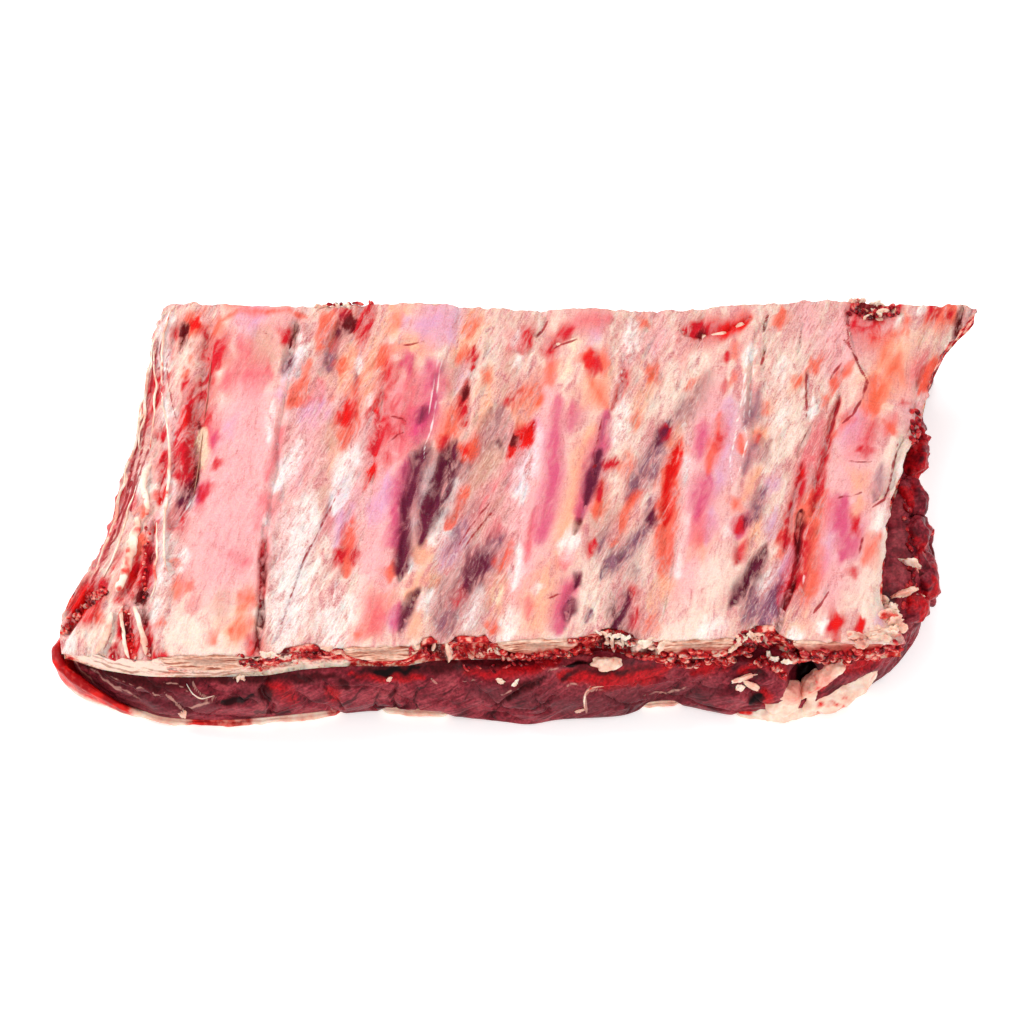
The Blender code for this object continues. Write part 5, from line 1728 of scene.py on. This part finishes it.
MEMBRANE_THREADS = (
    (0.93, (172, 308), (165, 325), (161, 350), (160, 395)),
    (0.93, (196, 494), (185, 512), (178, 522)),
    (0.93, (276, 402), (273, 440)),
    (0.93, (266, 520), (264, 535)),
    (0.93, (361, 352), (362, 370)),
    (0.93, (447, 345), (439, 370), (436, 402), (431, 430), (425, 446), (424, 462)),
    (0.93, (412, 566), (408, 576)),
    (0.93, (518, 330), (514, 345)),
    (0.93, (524, 470), (520, 500)),
    (0.93, (622, 368), (622, 378)),
    (0.93, (753, 333), (748, 370), (745, 400), (743, 420), (748, 440), (741, 462), (734, 490)),
    (0.93, (738, 412), (735, 438), (730, 460), (732, 484)),
    (0.93, (749, 345), (744, 380), (741, 405), (738, 430)),
    (0.93, (757, 340), (753, 372), (750, 400), (748, 425)),
    (0.93, (440, 350), (434, 376), (431, 400), (427, 428)),
    (0.93, (804, 575), (803, 585)),
    (0.93, (134, 606), (142, 640), (148, 655)),
    (0.93, (768, 570), (757, 592)),
)


# Where the saw tore the membrane back from the front cut, by x from and to
NOTCHES = ((-102, -86), (-40.5, -33), (-26, -11), (39.5, 54), (104, 118))
NOTCH_DEPTH = 3.2


def membrane_grid(rows, columns):
    """Plan x and y of an even grid of points over the plate, row by row from the front cut."""
    depth, share = np.meshgrid(np.linspace(0, 1, rows + 1), np.linspace(0, 1, columns + 1), indexing="ij")
    y = row_y(depth)
    left, right = spline(LEFT_EDGE, y), spline(RIGHT_EDGE, y)
    x = left + (right - left) * share
    frayed = (0.15 + 0.55 * ease(*CORNER, x)) * layered(x / 4.0, seed=52)
    torn = (NOTCH_DEPTH * within(NOTCHES, x, 1.0) + frayed) * (1 - ease(0, 0.05, depth)) - frayed * ease(0.97, 1, depth)
    uneven = 1.0 * layered(y / 5.0, seed=53) * (1 - ease(0, 0.02, share) - ease(0.98, 1, share))
    return (x + uneven).ravel(), (place(x, depth) + torn).ravel()


x, y = membrane_grid(MEMBRANE_ROWS, MEMBRANE_COLUMNS)
x_under, y_under = membrane_grid(MEMBRANE_ROWS // COARSE, MEMBRANE_COLUMNS // COARSE)
upper_skin = np.column_stack([x, y, bone_side(x, y)])
under_skin = np.column_stack([x_under, y_under, bone_side(x_under, y_under) - MEMBRANE + 0.05])
membrane_points = np.concatenate([upper_skin, under_skin])
faces = grid_faces(MEMBRANE_ROWS + 1, MEMBRANE_COLUMNS + 1)
faces += grid_faces(MEMBRANE_ROWS // COARSE + 1, MEMBRANE_COLUMNS // COARSE + 1, len(upper_skin), flip=True)
fine_row, fine_column = border(MEMBRANE_ROWS + 1, MEMBRANE_COLUMNS + 1)
fine_rim = fine_row * (MEMBRANE_COLUMNS + 1) + fine_column
coarse_row, coarse_column = border(MEMBRANE_ROWS // COARSE + 1, MEMBRANE_COLUMNS // COARSE + 1)
coarse_rim = coarse_row * (MEMBRANE_COLUMNS // COARSE + 1) + coarse_column + len(upper_skin)
for k, corner in enumerate(coarse_rim):
    fine = [fine_rim[(k * COARSE + step) % len(fine_rim)] for step in range(COARSE, -1, -1)]
    faces.append([int(i) for i in (corner, coarse_rim[(k + 1) % len(coarse_rim)], *fine)])
marks = marks_at(MEMBRANE_MARKS, seen_on_top(membrane_points[:, 0], membrane_points[:, 1]), DRAWN_OUT)
marks["rib"] = ease(0.2, 1.2, crown(membrane_points[:, 0], membrane_points[:, 1]))
seen = unsteady(seen_at(membrane_points), 0.6)
marks["crack"] = thin_lines(MEMBRANE_CRACKS, seen)
marks["thread"] = thin_lines(MEMBRANE_THREADS, seen)
membrane = body("membrane", membrane_points, faces, marks)


def membrane_material():
    """The lining of the chest: thin and moist, so fat, blood and bone colour it and it takes a wet shine."""
    made = bpy.data.materials.new("chest_lining")
    made.use_nodes = True
    tree = made.node_tree
    shader = tree.nodes["Principled BSDF"]
    where = node(tree, "TexCoord").outputs["Object"]
    on_rib = node(tree, "Attribute", attribute_name="rib").outputs["Fac"]
    # Bundles of fibres about 3 mm wide run along the ribs, faintly, and lean over between them
    strands = []
    for lean, wide, long, bent in (
        (LEAN_OF_RIBS, 0.0025, 0.022, 0.5),
        (LEAN_OF_FIBRES, 0.0025, 0.02, 1.2),
        (LEAN_OF_FIBRES, 0.0018, 0.01, 2.5),
        ((LEAN_OF_RIBS + LEAN_OF_FIBRES) / 2, 0.005, 0.015, 1.0),
    ):
        placed = node(
            tree,
            "Mapping",
            {"Vector": where, "Rotation": (0, 0, -math.radians(lean)), "Scale": (wide, long, 0.01)},
            vector_type="TEXTURE",
        ).outputs["Vector"]
        inputs = {"Vector": placed, "Scale": 1.0, "Detail": 6.0, "Roughness": 0.6, "Distortion": bent}
        strands.append(node(tree, "TexNoise", inputs).outputs["Fac"])
    faint = node(tree, "MapRange", {"Value": strands[0], "To Min": 0.28, "To Max": 0.72}).outputs["Result"]
    strand = node(tree, "MixRGB", {"Fac": on_rib, "Color1": strands[1], "Color2": faint}).outputs["Color"]
    speck = node(tree, "TexNoise", {"Vector": where, "Scale": 1300.0, "Detail": 4.0}).outputs["Fac"]
    cloud = strands[3]
    both = node(tree, "MixRGB", {"Fac": 0.35, "Color1": strand, "Color2": speck}).outputs["Color"]
    mixed = node(tree, "MixRGB", {"Fac": 0.6, "Color1": both, "Color2": cloud}).outputs["Color"]
    spread = node(tree, "MapRange", {"Value": mixed, "From Min": 0.39, "From Max": 0.61, "To Min": -1.0})
    tight = node(tree, "MapRange", {"Value": on_rib, "To Min": 0.8, "To Max": 0.45}).outputs["Result"]
    ragged = node(tree, "Math", {0: spread.outputs["Result"], 1: tight}, operation="MULTIPLY").outputs["Value"]
    base = colour_ramp(tree, mixed, (0.36, "CC7C80"), (0.46, "E2A8A0"), (0.54, "EAC0B0"), (0.64, "F4D8CC"))
    colour = stained(
        tree,
        base,
        ragged,
        {
            "pink": ("EEA4A8", 0.0, 0.85),
            "cream": ("F4D6C6", 0.0, 0.75),
            "peach": ("F4A07A", 0.0, 0.75),
            "tan": ("CE9480", 0.0, 0.8),
            "lilac": ("D094B8", 0.0, 0.75),
            "rose": ("E04C5C", 0.0, 0.8),
            "taupe": ("9C5E66", 0.0, 0.85),
            "slate": ("7C3C5A", 0.0, 0.9),
            # White is the silverskin with a painted wet sheen
            "white": ("FCF2EE", 0.0, 0.7),
        },
    )

    def fibred(under, low, high, code, most, least, blend):
        """Draws the fine fibres over a colour, as strongly as most between the ribs and least on them."""
        most_here = node(tree, "MapRange", {"Value": on_rib, "To Min": most, "To Max": least}).outputs["Result"]
        inputs = {"Value": strands[2], "From Min": low, "From Max": high, "To Max": most_here}
        share = node(tree, "MapRange", inputs).outputs["Result"]
        inputs = {"Fac": share, "Color1": under, "Color2": hex_colour(code)}
        return node(tree, "MixRGB", inputs, blend_type=blend).outputs["Color"]

    colour = fibred(colour, 0.54, 0.68, "FCE8E0", 0.35, 0.1, "MIX")
    # Thin threads of blood run with the fibres where the fat is loose
    off_middle = node(tree, "Math", {0: strand, 1: 0.5}, operation="SUBTRACT").outputs["Value"]
    size = node(tree, "Math", {0: off_middle}, operation="ABSOLUTE").outputs["Value"]
    loose = node(tree, "MapRange", {"Value": cloud, "From Min": 0.58, "From Max": 0.4, "To Max": 0.4})
    thread = node(
        tree, "MapRange", {"Value": size, "From Max": 0.01, "To Min": loose.outputs["Result"], "To Max": 0.0}
    ).outputs["Result"]
    inputs = {"Fac": thread, "Color1": colour, "Color2": hex_colour("B83C40")}
    colour = node(tree, "MixRGB", inputs).outputs["Color"]
    colour = stained(
        tree,
        colour,
        ragged,
        {
            # Magenta is pooled blood and painted shade in the grooves beside the ribs
            "magenta": ("CC3068", 0.0, 0.85),
            "orange": ("EC4E2C", 0.0, 0.85),
            "crimson": ("CC1022", 0.0, 1.0),
            # Purple is dark meat showing through and painted shade in the furrows
            "purple": ("64102F", 0.0, 1.0),
            "red": ("E00C06", 0.0, 1.0),
            # Blood is near-black painted shade in the slits, dark blood red
            "blood": ("68060E", 0.2, 1.0),
            "straw": ("FCDCBC", 0.3, 0.8),
        },
    )
    # Fine fibres hold blood over all of it, and catch the light where it is pale, and least on the ribs
    colour = fibred(colour, 0.5, 0.34, "CC7074", 0.45, 0.2, "MULTIPLY")
    # The cracks are dark red blood and painted shade in the slits and under flap edges; the threads pale, with painted
    # glints on the ridges
    colour = drawn(tree, colour, {"crack": ("9C0C1C", 0.9), "thread": ("FFF6F2", 0.6)})
    # Grains of fat show as fine light and dark specks, less on the ribs, and the light ones are partly a painted glint
    # of beads of moisture
    speckled = node(
        tree, "MapRange", {"Value": speck, "From Min": 0.34, "From Max": 0.66, "To Min": 0.14, "To Max": 0.86}
    ).outputs["Result"]
    specks = node(tree, "MapRange", {"Value": on_rib, "To Min": 0.3, "To Max": 0.18}).outputs["Result"]
    inputs = {"Fac": specks, "Color1": colour, "Color2": speckled}
    colour = node(tree, "MixRGB", inputs, blend_type="SOFT_LIGHT").outputs["Color"]
    tree.links.new(colour, shader.inputs["Base Color"])
    # On the ribs the membrane is tight, with faint ripples across them
    across = node(
        tree,
        "Mapping",
        {"Vector": where, "Rotation": (0, 0, -math.radians(LEAN_OF_RIBS)), "Scale": (0.008, 0.0014, 0.005)},
        vector_type="TEXTURE",
    ).outputs["Vector"]
    ripple = node(tree, "TexNoise", {"Vector": across, "Scale": 1.0, "Detail": 4.0}).outputs["Fac"]
    rippled = node(tree, "MixRGB", {"Fac": 0.45, "Color1": both, "Color2": ripple}).outputs["Color"]
    loosely = node(tree, "MixRGB", {"Fac": 0.4, "Color1": both, "Color2": strands[2]}).outputs["Color"]
    relief = node(tree, "MixRGB", {"Fac": on_rib, "Color1": loosely, "Color2": rippled}).outputs["Color"]
    bump = node(tree, "Bump", {"Height": relief, "Strength": 0.7, "Distance": 0.003})
    tree.links.new(bump.outputs["Normal"], shader.inputs["Normal"])
    shader.inputs["Roughness"].default_value = 0.3
    shader.inputs["Specular IOR Level"].default_value = 0.12
    shader.inputs["Subsurface Weight"].default_value = 0.3
    shader.inputs["Subsurface Scale"].default_value = 0.002
    return made


membrane.data.materials.append(membrane_material())

# The scraps: strings and ropes of fat along the left side, and crumbs and shreds of fat and meat that the
# saw and the knife left on the cuts. They lie on the meat where the view shows them, sunk in a little.
skin_points = np.concatenate([muscle_points, bone_points, meat_points, upper_skin])
skin_points = skin_points[np.argsort(seen_at(skin_points)[:, 0])]
skin_seen = seen_at(skin_points)
skin_near = (skin_points - eye) @ -backward
REACH, APART = 2.6, 1.8


def on_surface(pixels):
    """The points of the meat's surface that show at pixels of the view."""
    found = []
    for pixel in np.atleast_2d(pixels):
        reach, close = REACH, []
        while len(close) == 0:
            first, last = np.searchsorted(skin_seen[:, 0], (pixel[0] - reach, pixel[0] + reach))
            close = first + np.flatnonzero(np.abs(skin_seen[first:last, 1] - pixel[1]) < reach)
            reach *= 1.5
        found.append(skin_points[close[np.argmin(skin_near[close])]])
    return np.array(found)


def strand(pixels, radius, seed, apart=0.0):
    """Points and faces of a tapered string that lies along pixels of the view.

    It runs through the surface's points, each moved towards its pixel by apart pixels at most.
    """
    pixels = np.array(pixels, float)
    run = np.concatenate([[0], np.cumsum(np.hypot(*np.diff(pixels, axis=0).T))])
    steps = np.linspace(0, run[-1], int(run[-1] / 1.6) + 6)
    pixels = np.stack([spline(list(zip(run, pixels[:, k])), steps) for k in (0, 1)], 1)
    middle = on_surface(pixels)
    off = np.clip(pixels - seen_at(middle), -apart, apart) / PIXELS_PER_MM
    middle = middle + off[:, :1] * (1, 0, 0) - off[:, 1:] * upward
    for _ in range(12):
        middle[1:-1] = (middle[:-2] + 2 * middle[1:-1] + middle[2:]) / 4
    along = np.gradient(middle, axis=0)
    along /= np.linalg.norm(along, axis=1, keepdims=True)
    side = np.cross(along, backward)
    side /= np.linalg.norm(side, axis=1, keepdims=True)
    up = np.cross(side, along)
    share = steps / run[-1]
    wide = radius * (0.15 + 0.85 * np.sin(math.pi * share) ** 0.5) * (1 + 0.2 * layered(steps / 9.0, seed=seed))
    angle = 2 * math.pi * np.arange(STRAND_SIDES) / STRAND_SIDES
    knots = 1 + 0.15 * noise(steps[:, None] / 4.0, angle * 1.3, seed=seed + 1)
    wide = (wide[:, None] * knots)[..., None]
    rings = middle[:, None] + wide * np.cos(angle)[:, None] * side[:, None]
    rings = rings + 0.7 * wide * np.sin(angle)[:, None] * up[:, None]
    return rings.reshape(-1, 3), rings_faces(len(steps), STRAND_SIDES)


def scattered(path, spread, count, seed):
    """Pixels of the view along a path of pixels, each up to spread pixels off it."""
    path = np.array(path, float)
    k = np.arange(count)
    spot = (len(path) - 1) * np.clip(k + 0.5 + 0.5 * noise(k * 1.7, seed=seed), 0, count) / count
    pixels = np.stack([np.interp(spot, range(len(path)), path[:, axis]) for axis in (0, 1)], 1)
    return pixels + spread * np.stack([noise(k * 2.3, seed=seed + 1 + axis) for axis in (0, 1)], 1)


def flakes(path, spread, count, size, seed):
    """Points and faces of each of some flat flakes that lie along pixels of the view."""
    for k, pixel in enumerate(scattered(path, spread, count, seed)):
        half = size * np.array((1.3, 0.5, 0.9)) * (1 + 0.5 * noise(k * 3.1 + np.arange(3) * 7.7, seed=seed + 3))
        turn, lean = 50 * noise(k * 1.9, seed=seed + 6), 90 * noise(k * 2.7, seed=seed + 7)
        yield knob(on_surface(pixel)[0], half, turn, lean, seed + k, rough=0.7, around=24, up=14)


def shreds(path, spread, count, length, radius, slope, seed):
    """Points and faces of each of some torn fibres, some pixels long, at a slope to the view's upright."""
    for k, pixel in enumerate(scattered(path, spread, count, seed)):
        angle = math.radians(slope + 40 * noise(k * 1.3, seed=seed + 3))
        reach = length * (0.6 + 0.4 * noise(k * 2.9, seed=seed + 4))
        step = reach * np.array((math.sin(angle), math.cos(angle)))
        bend = 0.15 * reach * noise(k * 3.7, seed=seed + 5) * np.array((step[1], -step[0])) / reach
        yield strand((pixel - step / 2, pixel + bend, pixel + step / 2), radius, seed + k, APART)


def scraps(name, parts, material):
    """One body of many small pieces, stained with blood here and there."""
    points, faces = [], []
    start = 0
    for part, part_faces in parts:
        points.append(part)
        faces += [[start + corner for corner in face] for face in part_faces]
        start += len(part)
    points = np.concatenate(points)
    points[:, 2] = np.minimum(points[:, 2], SCRAP_TOP)
    marks = {
        "blood": 0.7 * ease(0.1, 1.1, layered(*(points / 5).T, seed=5)),
        "red": ease(-0.2, 0.6, layered(*(points / 9).T, seed=6)),
    }
    made = body(name, points, faces, marks)
    made.data.materials.append(material)


STRAND_SIDES, SCRAP_TOP = 10, 52.6
# Each string of fat: radius in mm and the pixels of the view that it runs through
LEFT_ROPES = (
    (0.6, (176, 304), (166, 322), (161, 350), (160, 384)),
    (0.55, (150, 345), (149, 380), (144, 415), (138, 450)),
    (0.7, (160, 390), (166, 430), (168, 470), (166, 520), (166, 570)),
    (0.55, (141, 400), (134, 440), (124, 480), (112, 520)),
    (1.8, (150, 462), (144, 486), (147, 514)),
    (0.6, (128, 470), (118, 505), (106, 540), (92, 572)),
    (2.4, (139, 516), (131, 548), (125, 574), (118, 592)),
    (0.6, (157, 520), (156, 560), (153, 596)),
    (1.4, (134, 604), (140, 630), (147, 654)),
    (1.5, (114, 610), (106, 634), (94, 652)),
    (1.1, (122, 604), (124, 630), (128, 656)),
    (0.5, (146, 330), (140, 370), (132, 420), (122, 462)),
    (0.5, (154, 330), (151, 360), (146, 400), (136, 440), (128, 470)),
    (0.5, (156, 350), (155, 385), (152, 420), (148, 450)),
    (0.55, (136, 478), (127, 510), (116, 545), (104, 575)),
)
TEETH = (
    (0.8, (605, 634), (606, 648)),
    (0.9, (611, 634), (614, 650)),
    (0.8, (619, 635), (623, 650)),
    (1.1, (446, 644), (449, 663)),
    (0.8, (433, 643), (431, 652)),
    (0.8, (418, 643), (416, 650)),
)
THREADS = (
    (0.45, (602, 688), (590, 691), (585, 700), (586, 713)),
    (0.3, (184, 686), (192, 694), (204, 699), (216, 698)),
)
# Larger flat scraps of fat: the pixel of the view, half sizes in mm, and turn and lean in degrees
BIG_FLAKES = (
    ((608, 663), (7.0, 3.4, 3.6), 5, 8),
    ((743, 679), (6.0, 1.0, 1.8), 15, -12),
    ((753, 687), (4.8, 1.0, 2.2), -10, 40),
    ((739, 690), (2.0, 0.9, 3.0), 0, 15),
)
# Flakes: pixels of the view that they lie along, how far they spread, how many, and their size in mm
FAT_FLAKES = (
    (((612, 646), (640, 645), (662, 649)), 5, 10, 1.8),
    (((595, 636), (628, 636)), 2, 8, 1.1),
    (((734, 646), (748, 637), (764, 643)), 5, 10, 1.7),
    (((260, 652), (272, 658), (300, 662)), 3, 8, 1.5),
    (((391, 682), (395, 682)), 0, 1, 1.6),
    (((497, 682), (519, 684)), 0, 2, 1.8),
    (((574, 712), (578, 712)), 0, 1, 1.8),
    (((238, 679), (246, 680)), 1, 2, 1.5),
    (((184, 716), (187, 716)), 0, 1, 1.8),
    (((320, 650), (345, 656)), 3, 5, 1.3),
    (((470, 656), (500, 650)), 4, 6, 1.2),
    (((766, 656), (784, 662)), 4, 5, 1.6),
    (((852, 642), (880, 632), (904, 622)), 8, 22, 2.4),
    (((884, 606), (896, 624)), 6, 8, 3.0),
    (((916, 545), (905, 596), (928, 598)), 1, 3, 3.0),
    (((862, 312), (888, 314)), 5, 7, 1.6),
    (((312, 303), (350, 303)), 2, 7, 1.4),
    (((845, 297), (890, 300)), 2, 6, 1.6),
)
# Shreds: as for flakes, then their length in pixels, radius in mm and slope in degrees
MEAT_SHREDS = (
    (((292, 653), (330, 655)), 3, 12, 9, 0.6, 40),
    (((405, 652), (436, 654)), 4, 12, 10, 0.6, 10),
    (((455, 652), (490, 652)), 4, 14, 10, 0.6, 20),
    (((240, 660), (262, 668)), 4, 10, 8, 0.7, 60),
    (((595, 644), (630, 646)), 4, 10, 10, 0.6, 10),
    (((630, 657), (655, 655)), 3, 8, 10, 0.8, 75),
    (((735, 640), (752, 636), (768, 646)), 6, 22, 10, 0.8, 30),
    (((460, 670), (560, 662)), 3, 12, 12, 0.6, 75),
    (((916, 412), (917, 440), (908, 500)), 5, 24, 12, 1.2, 15),
    (((906, 500), (916, 560), (906, 612)), 6, 24, 14, 1.2, 20),
    (((780, 650), (840, 656), (900, 645)), 6, 26, 12, 0.9, 60),
    (((328, 301), (372, 302)), 3, 12, 8, 0.8, 60),
    (((850, 306), (872, 316), (895, 307)), 6, 44, 7, 1.0, 30),
)
MEAT_CRUMBS = (
    (((500, 657), (545, 657), (594, 649)), 3, 28, 13, 1.4, 80),
    (((566, 643), (592, 639)), 2, 8, 9, 0.9, 75),
    (((648, 657), (700, 656), (750, 651)), 3, 30, 13, 1.4, 80),
    (((785, 656), (830, 660), (886, 653)), 5, 44, 14, 1.6, 75),
    (((668, 661), (700, 664), (735, 660)), 4, 20, 11, 1.3, 60),
    (((752, 660), (772, 664), (786, 674)), 6, 26, 7, 1.0, 30),
    (((64, 630), (88, 602), (104, 588)), 5, 44, 6, 1.2, -45),
    (((148, 528), (146, 565), (144, 600)), 3, 16, 6, 0.8, 0),
    (((127, 612), (132, 655)), 3, 14, 6, 0.8, 0),
    (((146, 640), (150, 658)), 2, 8, 5, 0.8, 0),
    (((240, 658), (262, 668)), 4, 14, 6, 1.0, 30),
)
# Lobes of meat that stand out of the right side: middle, half sizes, turn and lean, in mm and degrees
RIGHT_LOBES = (
    ((189, 42, 34), (5, 10, 7), 10, 20),
    ((188, 24, 32), (6, 13, 8), -15, 25),
    ((185, 4, 32), (6, 13, 8), 20, 15),
    ((186, -18, 29), (7, 12, 9), -15, 20),
    ((186, -36, 26), (8, 11, 10), 10, 0),
    ((183, -53, 26), (7, 9, 8), -20, 10),
    ((190, -16, 17), (6, 12, 8), 0, 0),
    ((189, -36, 15), (6, 10, 8), 15, 0),
)
SPIKES = (
    ((191, 34, 35), (5, 3.0, 2.6), 20, -10),
    ((190, 28, 33), (5, 2.6, 2.4), -10, 0),
    ((189, -15, 27), (7, 3.2, 3.0), 15, -15),
    ((188, -30, 25), (7, 3.0, 2.8), -5, 5),
    ((185, -45, 24), (8, 3.4, 3.0), 20, 0),
)

strings = [strand(line, radius, 80 + i) for i, (radius, *line) in enumerate((*LEFT_ROPES, *TEETH, *THREADS))]
fat_bits = [piece for i, spec in enumerate(FAT_FLAKES) for piece in flakes(*spec, seed=200 + 40 * i)]
for i, (pixel, *shape) in enumerate(BIG_FLAKES):
    fat_bits.append(knob(on_surface(pixel)[0], *shape, seed=60 + i, rough=0.3, around=60, up=36))
scraps("fat_strings", strings, beef_fat)
scraps("fat_flakes", fat_bits, beef_fat)
red_meat = torn_meat_material(
    "torn_red_meat", 0.15, (0.36, "4E060E"), (0.47, "961420"), (0.57, "C22C32"), (0.7, "E87468")
)
meat_bits = [piece for i, spec in enumerate(MEAT_SHREDS) for piece in shreds(*spec, seed=1200 + 60 * i)]
meat_bits += [knob(*spike, seed=90 + i, rough=0.3, around=24, up=20) for i, spike in enumerate(SPIKES)]
scraps("meat_shreds", meat_bits, red_meat)
lobes = [knob(*lobe, seed=70 + i, rough=0.35, around=72, up=40) for i, lobe in enumerate(RIGHT_LOBES)]
scraps("side_lobes", lobes, beef_muscle)
crumbs = [piece for i, spec in enumerate(MEAT_CRUMBS) for piece in shreds(*spec, seed=2400 + 60 * i)]
scraps("meat_crumbs", crumbs, torn_meat)

# The setting: a plain pale floor and the soft white light of a studio.
FLOOR = 4.0


def floor_plane():
    """A wide flat sheet of white acrylic just under the meat, lit a little from below."""
    mesh = bpy.data.meshes.new("floor")
    corners = [(-FLOOR, -FLOOR), (FLOOR, -FLOOR), (FLOOR, FLOOR), (-FLOOR, FLOOR)]
    mesh.from_pydata([(x, y, -0.0002) for x, y in corners], [], [(0, 1, 2, 3)])
    made = bpy.data.objects.new("floor", mesh)
    bpy.context.scene.collection.objects.link(made)
    acrylic = bpy.data.materials.new("lit_white_acrylic")
    acrylic.use_nodes = True
    shader = acrylic.node_tree.nodes["Principled BSDF"]
    shader.inputs["Base Color"].default_value = hex_colour("FAFAFA")
    shader.inputs["Roughness"].default_value = 0.9
    shader.inputs["Specular IOR Level"].default_value = 0.1
    shader.inputs["Emission Color"].default_value = hex_colour("FFFFFF")
    shader.inputs["Emission Strength"].default_value = 0.3
    mesh.materials.append(acrylic)


def soft_light(name, azimuth, elevation, distance, size, watts):
    """A square soft box that points at the meat."""
    data = bpy.data.lights.new(name, "AREA")
    data.size = size
    data.energy = watts
    made = bpy.data.objects.new(name, data)
    a, e = math.radians(azimuth), math.radians(elevation)
    made.location = [distance * c for c in (math.cos(e) * math.sin(a), -math.cos(e) * math.cos(a), math.sin(e))]
    made.rotation_euler = (math.pi / 2 - e, 0, a)
    bpy.context.scene.collection.objects.link(made)


floor_plane()
soft_light("key_over_left", -110, 42, 1.5, 0.35, 12.5)
soft_light("fill_over_front", 35, 38, 1.6, 0.9, 6)
soft_light("shine_behind", 175, 55, 1.6, 0.4, 2.5)
world = bpy.data.worlds.new("studio")
world.use_nodes = True
world.node_tree.nodes["Background"].inputs["Color"].default_value = (1, 1, 1, 1)
world.node_tree.nodes["Background"].inputs["Strength"].default_value = 0.82
bpy.context.scene.world = world
bpy.context.scene.view_settings.view_transform = "Standard"
